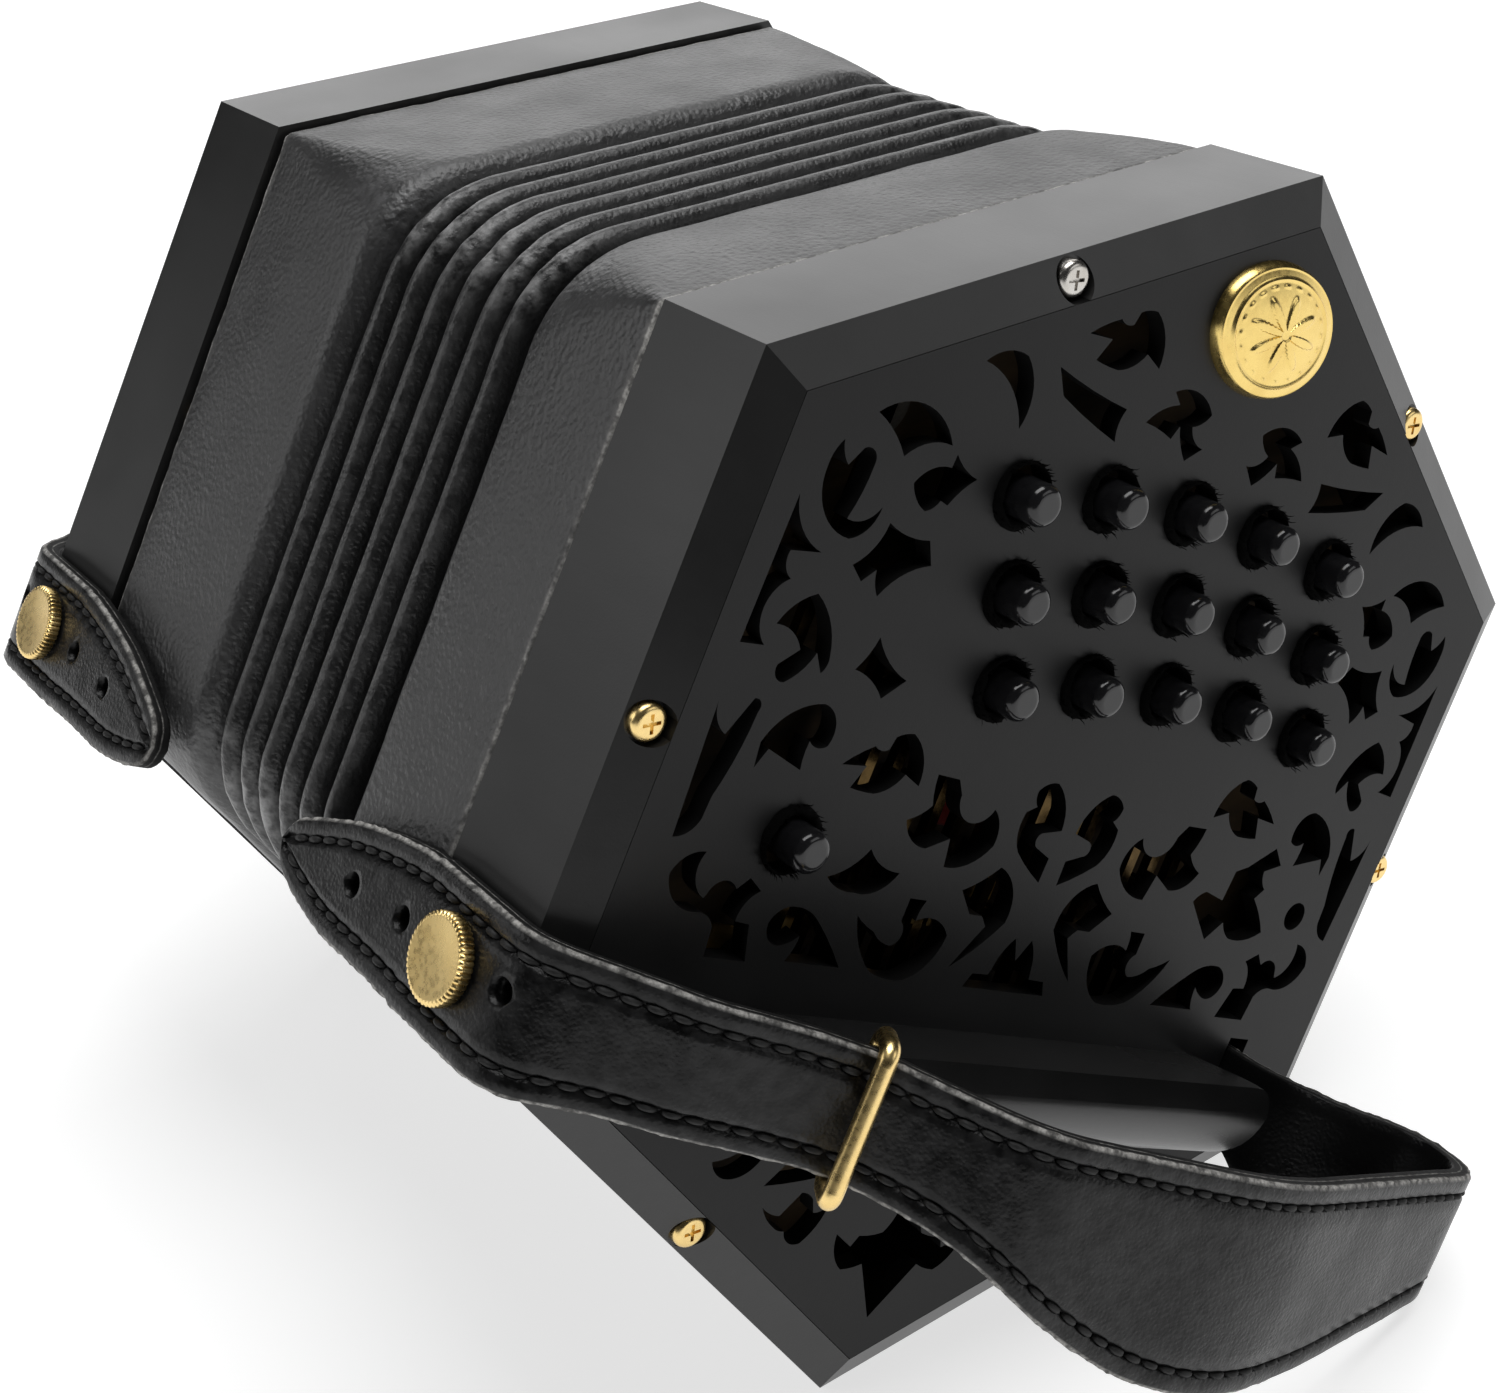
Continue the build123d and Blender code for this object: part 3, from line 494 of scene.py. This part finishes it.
def bellows_valley(index, start, end):
    """Leather between two neighbours: a V that lies shut at rest."""
    depth, top = 15.0, 4.4
    steps = 7
    profile = []
    for i in range(2 * steps + 1):
        share = i / (2 * steps)
        t = 0.5 - math.sin(math.asin(1 - 2 * share) / 3)
        low = depth * (1 - abs(1 - 2 * share))
        profile.append((start + (end - start) * t, top + low))
    back = [(x, d + 0.8) for x, d in reversed(profile)]
    section = profile + back
    loop = hexagon_loop(APOTHEM - 1.0, 22.0, 10, 12)
    points = []
    for u, v, nu, nv, _ in loop:
        for x, inward in section:
            points.append(place(u - nu * inward, v - nv * inward, x))
    faces = grid_faces(len(loop), len(section), True, True)
    piece = new_object(f"valley_leather_{index}", points, faces, FOLD_LEATHER)
    paint(piece, "wear_and_highlight", [0.0] * len(points))
    paint(piece, "fibre", [0.0] * len(points))
    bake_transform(piece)


def bellows():
    """Both bands, the six ridges and the seven valleys."""
    for name, side in SIDES.items():
        bellows_band(name, side)
    middles = [fold_middle(i + 1) for i in range(FOLD_COUNT)]
    for i in range(FOLD_COUNT):
        bellows_ridge(i + 1)
    right_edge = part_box("right_bellows_frame")[0].x / MM
    left_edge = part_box("left_bellows_frame")[1].x / MM
    flank = 2.1
    starts = [right_edge + 0.4] + [m - flank for m in middles]
    ends = [m + flank for m in middles] + [left_edge - 0.4]
    for i in range(FOLD_COUNT + 1):
        bellows_valley(i + 1, starts[i], ends[i])


# ---------------------------------------------------------------- hand straps

STRAP_ROUTE = [
    (20.4, -81.8), (76.6, -81.8), (90.8, -64.5), (98.6, -43.5), (115.5, -28),
    (123.5, 12), (115.5, 69.0), (103.5, 71.5), (93.5, 58.0), (66.0, 58.0),
]
STRAP_BENDS = [10, 16, 12, 22, 60, 10, 8, 14]
STRAP_HALF = 1.5
# Heights of the strap's edges: (u, v), read along the route until it turns back
UPPER_EDGE = [(-81.8, -27.7), (-54, -27.7), (-36, -29.1), (0, -30.3), (50, -31.2), (75, -31.8)]
LOWER_EDGE = [
    (-81.8, -47.2), (-74, -46.2), (-62, -45.4), (-44, -45.6), (-33, -46.7), (-20, -53.4), (-4, -59.3),
    (12, -60.9), (30, -59.4), (52, -54.6), (70, -50.2), (75, -49.2),
]
TIP_HALF_WIDTHS = [(0.0, 0.0), (0.8, 2.2), (3.0, 4.0), (10.0, 6.4), (17.0, 8.0), (32.0, 9.5)]
TIP_V = -40.2
SLOT_LOWER_V = -46.2
LEFT_DROP = 4.0
SCREW_V = -36.9
SCREW_TOP = 5.8
HOLE_RADIUS = 1.75
STRAP_HOLES = [(-24.2, -2.4), (-11.8, -1.2), (10.8, 0.3)]


def rounded_route(corners, bends, step):
    """Evenly spaced points along straight runs joined by arcs, with unit tangents."""
    dense = [Vector(corners[0])]
    for i, bend in enumerate(bends):
        before, here, after = (Vector(corners[k]) for k in (i, i + 1, i + 2))
        into, out = (here - before).normalized(), (after - here).normalized()
        turn = into.angle_signed(out)
        cut = bend * math.tan(abs(turn) / 2)
        begin, finish = here - into * cut, here + out * cut
        pieces = max(4, int(abs(turn) * bend / 0.5))
        for k in range(pieces + 1):
            t = k / pieces
            dense.append(begin * (1 - t) ** 2 + here * 2 * t * (1 - t) + finish * t * t)
    dense.append(Vector(corners[-1]))
    lengths = [0.0]
    for a, b in zip(dense, dense[1:]):
        lengths.append(lengths[-1] + (b - a).length)
    count = int(lengths[-1] / step)
    places, k = [], 0
    for i in range(count + 1):
        goal = lengths[-1] * i / count
        while k < len(lengths) - 2 and lengths[k + 1] < goal:
            k += 1
        span = lengths[k + 1] - lengths[k]
        t = (goal - lengths[k]) / span if span > 0 else 0.0
        places.append(dense[k].lerp(dense[k + 1], t))
    tangents = []
    for i in range(len(places)):
        a, b = places[max(0, i - 2)], places[min(len(places) - 1, i + 2)]
        tangents.append((b - a).normalized())
    return places, tangents


def between(table, x):
    """Smoothly interpolated value of a table of (x, y) points."""
    if x <= table[0][0]:
        return table[0][1]
    for k in range(len(table) - 1):
        (xa, ya), (xb, yb) = table[k], table[k + 1]
        if x <= xb:
            before = table[max(0, k - 1)]
            after = table[min(len(table) - 1, k + 2)]
            slope_a = (yb - before[1]) / (xb - before[0])
            slope_b = (after[1] - ya) / (after[0] - xa)
            t = (x - xa) / (xb - xa)
            h = xb - xa
            return (
                (2 * t**3 - 3 * t**2 + 1) * ya + (t**3 - 2 * t**2 + t) * h * slope_a
                + (3 * t**2 - 2 * t**3) * yb + (t**3 - t**2) * h * slope_b
            )
    return table[-1][1]


def strap_sections(drop):
    """For each step along the strap: middle (w, u), outward normal, and the upper and lower v."""
    places, tangents = rounded_route(STRAP_ROUTE, STRAP_BENDS, 0.8)
    far = max(range(len(places)), key=lambda i: places[i].y)
    sections = []
    for i, (middle, tangent) in enumerate(zip(places, tangents)):
        normal = Vector((tangent.y, -tangent.x))
        w, u = middle
        upper, lower = between(UPPER_EDGE, u), between(LOWER_EDGE, u)
        if i > far:
            back = smooth(((i - far) * 0.8 - 18) / 14)
            upper = between(UPPER_EDGE, 75) - 1.0 * back
            lower = lower * (1 - back) + SLOT_LOWER_V * back
        on_casing = 1 - smooth((u + 81.8) / 22)
        upper -= drop * on_casing
        lower -= drop * on_casing
        lean = 0.0
        if i < far:
            lean = 2.6 * smooth((u + 81) / 12) * (1 - smooth((u + 48) / 18))
        from_tip = w - STRAP_ROUTE[0][0] if u < -81 else 99.0
        if from_tip < 34:
            blunt = smooth(from_tip / 34)
            centre = (TIP_V - drop) * (1 - blunt) + (upper + lower) / 2 * blunt
            half = between(TIP_HALF_WIDTHS, from_tip)
            half = half * (1 - blunt) + min(half, (upper - lower) / 2) * blunt
            upper, lower = centre + half, centre - half
        sections.append((w, u, normal, upper, lower, lean))
    return sections


STITCH_INSET = 2.9
# The cut edge through the strap's thickness: (height off the middle, how raw the fibre is)
EDGE_LAYERS = [
    (1.1, 0.8), (0.9, 0.7), (0.7, 0.05), (0.3, 0.0), (-0.05, 0.0), (-0.2, 0.45), (-0.4, 0.0),
    (-0.85, 0.0), (-1.2, 0.0),
]


def strap_point(section, across, lift, side):
    """A point of the strap: across runs from 0 at the upper edge to 1 at the lower, lift is outward."""
    w, u, normal, upper, lower, lean = section
    inward = lean * max(across, 0.0) ** 1.5
    v = upper + (lower - upper) * across
    return place(u + normal.y * (lift - inward), v, w + normal.x * (lift - inward), side)


def hand_strap(name, side):
    """Thick leather strap with grooved stitch lines, punched holes, creases and raw edges."""
    drop = LEFT_DROP if side < 0 else 0.0
    sections = strap_sections(drop)
    points, fibres, wear_and_highlights, edges = [], [], [], []
    columns = 0
    for i, section in enumerate(sections):
        w, u, _, upper, lower, _ = section
        width = max(0.6, upper - lower)
        row = []
        inset = min(STITCH_INSET, width * 0.35)
        marks = [0.0, 0.35, inset - 0.75, inset - 0.3, inset, inset + 0.35, inset + 0.9]
        marks = [m / width for m in marks]
        middle = [marks[-1] + (1 - 2 * marks[-1]) * k / 9 for k in range(1, 9)]
        across = marks + middle + [1 - m for m in reversed(marks)]
        groove = [0, 0, 0.0, -0.5, -0.85, -0.5, 0.1]
        outline = groove + [0.12] * 8 + list(reversed(groove))
        near_slider = math.exp(-((u + 43) / 16) ** 2) if w > 80 and i < len(sections) * 0.6 else 0.0
        for k, (t, sink) in enumerate(zip(across, outline)):
            v = upper + (lower - upper) * t
            crease = near_slider * 0.16 * wobble((w * 0.35, u * 0.35, v * 1.6), 1.0, side)
            wave = 0.16 * wobble((w, u, v), 12, side + 2) + 0.05 * wobble((w, u, v), 2.5, side)
            edge = -0.3 if k in (0, len(across) - 1) else 0.0
            row.append((t, STRAP_HALF + sink + crease + wave + edge, 0.0))
        ragged = 0.3 * wobble((w, u, 1), 1.1, side + 3)
        top = [(0.0, lift, fibre) for lift, fibre in EDGE_LAYERS]
        bottom = [(1.0, lift, fibre) for lift, fibre in EDGE_LAYERS]
        inner = [(1 - k / 8, -STRAP_HALF, 0.0) for k in range(9)]
        for t, lift, fibre in row:
            points.append(strap_point(section, t, lift, side))
            fibres.append(0.8 if t in (0.0, 1.0) else fibre)
            wear_and_highlights.append(0.12 if 0.1 < t < 0.9 else 0.2)
            edges.append(0.0)
        for t, lift, fibre in bottom:
            shift = (0.25 + ragged * fibre) / width
            points.append(strap_point(section, t + shift, lift, side))
            fibres.append(fibre * 0.75)
            wear_and_highlights.append(0.0)
            edges.append(1.0)
        for t, lift, fibre in inner:
            points.append(strap_point(section, t, lift, side))
            fibres.append(0.0)
            wear_and_highlights.append(0.0)
            edges.append(0.0)
        for t, lift, fibre in reversed(top):
            shift = (0.25 + ragged * fibre) / width
            points.append(strap_point(section, t - shift, lift, side))
            fibres.append(fibre)
            wear_and_highlights.append(0.0)
            edges.append(1.0)
        columns = len(row) + len(bottom) + len(inner) + len(top)
    rows = len(sections)
    faces = grid_faces(rows, columns, False, True)
    faces.append(list(range(columns)))
    faces.append([(rows - 1) * columns + j for j in reversed(range(columns))])
    piece = new_object(f"{name}_strap_leather", points, faces, STRAP_LEATHER)
    paint(piece, "fibre", fibres)
    paint(piece, "wear_and_highlight", wear_and_highlights)
    paint(piece, "edge", edges)
    punch_holes(piece, side)
    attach(piece, f"{name}_end")
    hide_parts(f"{name}_hand_strap")
    stitching(name, side, sections)


def screw_place(name):
    """(v, w) of a thumb screw's axis, from its CAD node."""
    low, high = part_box(f"{name}_thumb_screw")
    middle = (low + high) / 2
    _, v = face_of(middle)
    return v, abs(middle.x) / MM


def punch_holes(piece, side):
    """Cut the strap's adjusting holes through the leather."""
    name = "right" if side > 0 else "left"
    screw_v, screw_w = screw_place(name)
    cutter_points, cutter_faces = [], []
    count = 20
    for along, across in STRAP_HOLES + [(0.0, 0.0)]:
        first = len(cutter_points)
        for u in (-90, -76):
            for k in range(count):
                a = 2 * math.pi * k / count
                v = screw_v + across + HOLE_RADIUS * math.sin(a)
                w = screw_w + along + HOLE_RADIUS * math.cos(a)
                cutter_points.append(place(u, v, w, side))
        for k in range(count):
            n = (k + 1) % count
            cutter_faces.append([first + k, first + n, first + count + n, first + count + k])
        cutter_faces.append([first + k for k in range(count)])
        cutter_faces.append([first + count + k for k in reversed(range(count))])
    cutter = new_object("cutter", cutter_points, cutter_faces, STRAP_LEATHER)
    modifier = piece.modifiers.new("holes", "BOOLEAN")
    modifier.object = cutter
    modifier.operation = "DIFFERENCE"
    modifier.solver = "EXACT"
    graph = bpy.context.evaluated_depsgraph_get()
    cut = bpy.data.meshes.new_from_object(piece.evaluated_get(graph))
    piece.modifiers.clear()
    piece.data = cut
    bpy.data.objects.remove(cutter)


def capsule(points, faces, start, end, out, radius, bulge):
    """One stitch: a short thick thread that dives into the leather at both ends."""
    first = len(points)
    along = (end - start)
    across = along.cross(out).normalized()
    stations, around = 7, 8
    for i in range(stations):
        t = i / (stations - 1)
        height = bulge * math.sin(math.pi * t) ** 0.6 - 0.35 * MM
        size = radius * (0.55 + 0.45 * math.sin(math.pi * t) ** 0.5)
        centre = start + along * t + out * height
        for k in range(around):
            a = 2 * math.pi * k / around
            points.append(centre + across * size * math.cos(a) + out * size * math.sin(a))
    faces += grid_faces(stations, around, False, True, first)
    faces.append([first + k for k in range(around)])
    faces.append([first + (stations - 1) * around + k for k in reversed(range(around))])


def stitching(name, side, sections):
    """Two rows of stitches, one along each edge of the strap, meeting at its tip."""
    points, faces = [], []
    pitch = 4
    for edge in (0, 1):
        for i in range(3, len(sections) - 12, pitch):
            a, b = sections[i], sections[min(i + pitch, len(sections) - 1)]
            ends = []
            for section in (a, b):
                width = max(0.6, section[3] - section[4])
                inset = min(STITCH_INSET, width * 0.35) / width
                across = inset if edge == 0 else 1 - inset
                ends.append(strap_point(section, across, STRAP_HALF - 0.35, side))
            out = strap_point(a, 0.5, 1.0, side) - strap_point(a, 0.5, 0.0, side)
            start = ends[0].lerp(ends[1], 0.06)
            end = ends[0].lerp(ends[1], 0.94)
            capsule(points, faces, start, end, out.normalized(), 0.48 * MM, 0.55 * MM)
    new_object(f"{name}_strap_stitches", points, faces, THREAD, f"{name}_end")


# ---------------------------------------------------------------- fittings

def lathe(points, faces, profile, around, frame_at, rim=None):
    """Turn a profile of (radius, height) about an axis; rim(k) scales the outermost radius."""
    first = len(points)
    widest = max(radius for radius, _ in profile)
    for radius, height in profile:
        for k in range(around):
            a = 2 * math.pi * k / around
            size = radius * (rim(k) if rim and radius > 0.9 * widest else 1.0)
            points.append(frame_at(size * math.cos(a), size * math.sin(a), height))
    faces += grid_faces(len(profile), around, False, True, first)
    faces.append([first + k for k in range(around)])
    faces.append([first + (len(profile) - 1) * around + k for k in reversed(range(around))])


def thumb_screw(name, side):
    """Brass thumb screw with straight knurling and a slightly dished face."""
    low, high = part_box(f"{name}_thumb_screw")
    w = screw_place(name)[1]
    radius = (high.x - low.x) / 2 / MM
    outer_u = -(APOTHEM + SCREW_TOP)
    v = SCREW_V - (LEFT_DROP if side < 0 else 0.0)
    teeth = 46

    def at(a, b, height):
        return place(outer_u - height, v + a, w + b, side)

    points, faces = [], []
    head = [
        (0.3, -0.22), (1.6, -0.2), (3.4, -0.12), (radius - 0.9, -0.02), (radius - 0.45, 0.0),
        (radius - 0.08, -0.25), (radius, -0.45), (radius, -1.75), (radius - 0.1, -1.95),
        (radius - 0.5, -2.1),
        (2.6, -2.1), (1.7, -2.15), (1.6, -2.4), (1.6, -9.0), (1.4, -9.4),
    ]
    lathe(points, faces, head, teeth * 4, at, rim=lambda k: (1.0, 0.985, 0.95, 0.985)[k % 4])
    piece = new_object(
        f"{name}_thumb_screw_brass", points, faces, BRASS, f"{name}_screw",
    )
    mark_sharp(piece, 40)
    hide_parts(f"{name}_thumb_screw")


def mark_sharp(piece, degrees):
    """Shade flat across edges sharper than an angle."""
    work = bmesh.new()
    work.from_mesh(piece.data)
    limit = math.radians(degrees)
    for edge in work.edges:
        edge.smooth = not (len(edge.link_faces) == 2 and edge.calc_face_angle(0) > limit)
    work.to_mesh(piece.data)
    work.free()


def felt_reach(a, tilt):
    """Inner radius of a felt ring: wider on the side that the stem leans to when it is pressed."""
    return 3.3 + 1.05 * smooth((tilt * math.sin(a) + 0.35) / 1.1)


def felt_bushings(name, side):
    """Black felt rings, partly painted shade, round the buttons, left open on the side each button tilts
    to.
    """
    random.seed(11 if side > 0 else 12)
    points, faces = [], []
    around = 44
    profile = [
        (0.0, -2.4), (0.0, 0.2), (0.25, 0.75), (0.8, 0.95), (1.35, 0.6), (1.62, 0.1), (1.62, -2.4),
    ]
    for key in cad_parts:
        if not key.startswith(name) or "key" not in key:
            continue
        u, v = button_centre(key)
        tilt = -1.0 if "air" in key else 1.0
        first = len(points)
        for k in range(around):
            a = 2 * math.pi * k / around
            inner = felt_reach(a, tilt)
            for across, height in profile:
                lump = 0.28 * wobble((u + 6 * math.cos(a), v + 6 * math.sin(a), across * 3), 1.3, side)
                reach = inner + across * (4.72 - inner) / 1.62
                lift = height + (lump + 0.25 * random.uniform(-1, 1)) * (height > -1)
                spread = reach + (0.12 * random.uniform(-1, 1) if across > 0.5 and height > -1 else 0)
                points.append(place(
                    u + spread * math.cos(a), v + spread * math.sin(a), PLATE_FACE + lift, side,
                ))
        faces += grid_faces(around, len(profile), True, True, first)
        fuzz(points, faces, u, v, tilt, side)
    new_object(f"{name}_felt_bushings", points, faces, BLACK_FELT_AND_SHADE, f"{name}_end")


def fuzz(points, faces, u, v, tilt, side):
    """Loose fibres standing out of one felt ring."""
    for _ in range(90):
        a = random.uniform(0, 2 * math.pi)
        base = random.uniform(felt_reach(a, tilt) + 0.2, 4.75)
        tip = base + random.uniform(-0.1, 0.75)
        height = random.uniform(0.7, 1.7)
        first = len(points)
        stages = ((base, 0.2, 0.05), ((base + tip) / 2, height * 0.8, 0.04), (tip, height, 0.015))
        for reach, lift, half in stages:
            for offset in (-half, half):
                for depth in (-half, half):
                    turn = a + offset / reach
                    points.append(place(
                        u + (reach + depth) * math.cos(turn), v + (reach + depth) * math.sin(turn),
                        PLATE_FACE + lift, side,
                    ))
        for row in (0, 4):
            a0, b0, c0, d0 = first + row, first + row + 1, first + row + 3, first + row + 2
            faces += [[a0, b0, b0 + 4, a0 + 4], [b0, c0, c0 + 4, b0 + 4]]
            faces += [[c0, d0, d0 + 4, c0 + 4], [d0, a0, a0 + 4, d0 + 4]]
        faces.append([first + k for k in (0, 2, 3, 1)])
        faces.append([first + k for k in (8, 9, 11, 10)])


def button_centre(key):
    """(u, v) of one key's button, from the vertices at its top."""
    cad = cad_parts[key].data.vertices
    high = max(abs(vertex.co.x) for vertex in cad)
    top = [vertex.co for vertex in cad if abs(vertex.co.x) > high - 3 * MM]
    places = [face_of(co) for co in top]
    us, vs = [p[0] for p in places], [p[1] for p in places]
    return (min(us) + max(us)) / 2, (min(vs) + max(vs)) / 2


def medallion():
    """Domed oval badge: a raised ring and an eight-petal flower on a plain gold ground."""
    low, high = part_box("right_medallion")
    u, v = face_of((low + high) / 2)
    half_u, half_v = 12.0, 9.36
    points = []
    rings, around = 60, 160
    for i in range(rings + 1):
        r = i / rings
        for k in range(around):
            a = 2 * math.pi * k / around
            dome = 1.3 + 1.5 * (1 - r * r)
            petal = math.cos(4 * a) ** 2 * 0.46 + 0.12
            flower = smooth((petal - abs(r - 0.02)) * 12) * 0.28 if r > 0.07 else 0.1
            ring = smooth(1 - abs(r - 0.78) / 0.035) * 0.24
            beads = smooth(1 - abs(r - 0.68) / 0.03) * 0.2 * max(0.0, math.cos(20 * a))
            height = dome + flower + ring + beads
            if r > 0.93:
                height = dome + 0.1 - 1.4 * ((r - 0.93) / 0.07) ** 2
            points.append(place(
                u + half_u * max(r, 0.004) * math.cos(a), v + half_v * max(r, 0.004) * math.sin(a),
                PLATE_FACE + max(height, 0.0),
            ))
    first = len(points)
    for k in range(around):
        a = 2 * math.pi * k / around
        points.append(place(u + half_u * math.cos(a), v + half_v * math.sin(a), PLATE_FACE - 0.05))
    faces = grid_faces(rings + 2, around, False, True)
    faces.append(list(range(around)))
    faces.append([first + k for k in reversed(range(around))])
    piece = new_object("right_badge", points, faces, GOLD, "right_end")
    mark_sharp(piece, 50)
    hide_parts("right_medallion")


# Strips glued to the action board, seen through the cut-outs: u, v, length, width, and felt or wood
INNER_STRIPS = [
    (-6.0, -8.4, 5.0, 4.0, "felt"), (-8.6, -5.4, 3.0, 1.6, "wood"), (-38.4, -31.4, 4.0, 3.4, "wood"),
    (-26.8, -29.0, 4.4, 3.4, "wood"), (7.6, -18.8, 4.2, 3.2, "wood"),
]


STRIP_SECTION = [(-0.5, 0.0), (-0.5, 1.0), (-0.42, 1.2), (0.42, 1.2), (0.5, 1.0), (0.5, 0.0)]
BOARD_TOP = 58.55


def inner_strips(name, side):
    """Scraps of red felt and pale wood packing on the action board."""
    for kind, material in (("felt", RED_FELT), ("wood", PACKING_WOOD)):
        points, faces = [], []
        for u, v, length, width, strip_kind in INNER_STRIPS:
            if strip_kind != kind:
                continue
            first = len(points)
            for i in range(9):
                along = u - length / 2 + length * i / 8
                for dv, dw in STRIP_SECTION:
                    ripple = 0.12 * wobble((along, v + dv * width, dw), 1.5, side)
                    w = BOARD_TOP + dw + ripple * 0.4
                    points.append(place(along, v + dv * width + ripple, w, side))
            faces += grid_faces(9, 6, False, True, first)
            faces.append([first + k for k in range(6)])
            faces.append([first + 48 + k for k in reversed(range(6))])
        new_object(f"{name}_inner_{kind}", points, faces, material, f"{name}_end")


# ---------------------------------------------------------------- CAD nodes that stay

def dress(node_name, material, bevel=0.0):
    """Give a CAD node its material, and a small rounded edge that catches the light."""
    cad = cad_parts[node_name]
    cad.data.materials.clear()
    cad.data.materials.append(material)
    if bevel:
        modifier = cad.modifiers.new("edge", "BEVEL")
        modifier.width = bevel * MM
        modifier.segments = 2
        modifier.limit_method = "ANGLE"
        modifier.angle_limit = math.radians(25)
        modifier.harden_normals = False
    return cad


def bolt_heads(name):
    """Brass bolts, with one nickel bolt at the upper front flat."""
    cad = dress(f"{name}_end_bolts", BRASS)
    cad.data.materials.append(NICKEL)
    for polygon in cad.data.polygons:
        u, v = face_of(polygon.center)
        if math.hypot(u + 38.45, v - 66.6) < 6:
            polygon.material_index = 1


def dress_cad():
    """Materials of every CAD node that is shown."""
    for name in SIDES:
        dress(f"{name}_casing", CASING_WOOD, 0.25)
        dress(f"{name}_end_plate", PLATE_WOOD)
        dress(f"{name}_hand_rail", RAIL_WOOD, 0.4)
        dress(f"{name}_action_board", BOARD_WOOD)
        dress(f"{name}_reed_pan", PAN_WOOD)
        dress(f"{name}_lever_posts", SHADED_ACTION_BRASS)
        dress(f"{name}_strap_slider", BRASS)
        bolt_heads(name)
    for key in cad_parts:
        if "_key" in key:
            dress(key, KEY)


# ---------------------------------------------------------------- stage

def camera():
    """Camera at the photograph's viewing angle."""
    data = bpy.data.cameras.new("camera")
    data.lens = 58.05
    data.sensor_width = 36.0
    data.shift_x = -0.030
    data.shift_y = -0.067
    cam = bpy.data.objects.new("camera", data)
    bpy.context.scene.collection.objects.link(cam)
    azimuth, elevation, roll = (math.radians(a) for a in (54.6, 26.68, -2.75))
    back = Vector((
        math.sin(azimuth) * math.cos(elevation), -math.cos(azimuth) * math.cos(elevation),
        math.sin(elevation),
    ))
    right = Vector((0, 0, 1)).cross(back).normalized()
    up = back.cross(right)
    turned_right = math.cos(roll) * right + math.sin(roll) * up
    turned_up = -math.sin(roll) * right + math.cos(roll) * up
    matrix = Matrix((turned_right, turned_up, back)).transposed().to_4x4()
    matrix.translation = Vector((286.6, MID_Y - 195.24, 258.3)) * MM
    cam.matrix_world = matrix
    bpy.context.scene.camera = cam


def area_light(name, place_at, target, power, width, height):
    """A soft box that looks at a point."""
    data = bpy.data.lights.new(name, "AREA")
    data.shape = "RECTANGLE"
    data.size = width
    data.size_y = height
    data.energy = power
    lamp = bpy.data.objects.new(name, data)
    bpy.context.scene.collection.objects.link(lamp)
    lamp.location = place_at
    lamp.rotation_euler = (Vector(target) - Vector(place_at)).to_track_quat("-Z", "Y").to_euler()


def studio_world():
    """White to the camera, and a dim room to everything else."""
    world = bpy.data.worlds.new("studio")
    bpy.context.scene.world = world
    world.use_nodes = True
    tree = world.node_tree
    room = tree.nodes["Background"]
    room.inputs["Color"].default_value = (1, 1, 1, 1)
    seen = node(tree, "ShaderNodeLightPath").outputs["Is Camera Ray"]
    link(tree, ramp(tree, seen, 0.0, 1.0, ROOM_LIGHT, 1.0), room, "Strength")


ROOM_LIGHT = 0.03
# Each soft box: direction from the object, distance, width, height, and radiance
SOFT_BOXES = {
    "top_box": ((0.0, 0.1, 1.0), 1.7, 1.3, 1.3, 4.6),
    "back_box": ((-0.73, 0.52, 0.45), 1.5, 1.4, 0.9, 1.8),
    "left_box": ((-0.56, -0.83, 0.48), 1.4, 0.85, 0.7, 1.6),
    "right_box": ((0.78, 0.52, 0.38), 1.5, 0.9, 0.5, 1.2),
}


def stage():
    """Pale floor, world and soft boxes."""
    bpy.context.scene.view_settings.view_transform = "Standard"
    studio_world()
    bpy.ops.mesh.primitive_plane_add(size=8, location=(0, 0, -0.0004))
    floor = bpy.context.object
    floor.name = "floor"
    material, tree, principled = shader("floor_paper", (0.51, 0.51, 0.51), 0.9)
    tint = mix(tree, noise_at(tree, 3, 2), (0.50, 0.50, 0.50), (0.52, 0.52, 0.52))
    link(tree, tint, principled, "Base Color")
    principled.inputs["Emission Color"].default_value = (1, 1, 1, 1)
    principled.inputs["Emission Strength"].default_value = 0.7
    floor.data.materials.append(material)
    corners = [(0.75, -0.75, 0.0), (0.75, 0.2, 0.0), (0.75, 0.2, 0.45), (0.75, -0.75, 0.45)]
    black = shader("card_black", (0.002, 0.002, 0.002), 0.9)[0]
    card = new_object("dark_card", corners, [[0, 1, 2, 3]], black)
    card.visible_camera = False
    middle = Vector((0, 0, 0.08))
    for name, (direction, distance, width, height, radiance) in SOFT_BOXES.items():
        where = middle + Vector(direction).normalized() * distance
        area_light(name, where, middle, math.pi * width * height * radiance, width, height)


bellows()
for end_name, end_side in SIDES.items():
    hand_strap(end_name, end_side)
    thumb_screw(end_name, end_side)
    felt_bushings(end_name, end_side)
    inner_strips(end_name, end_side)
medallion()
dress_cad()
camera()
stage()
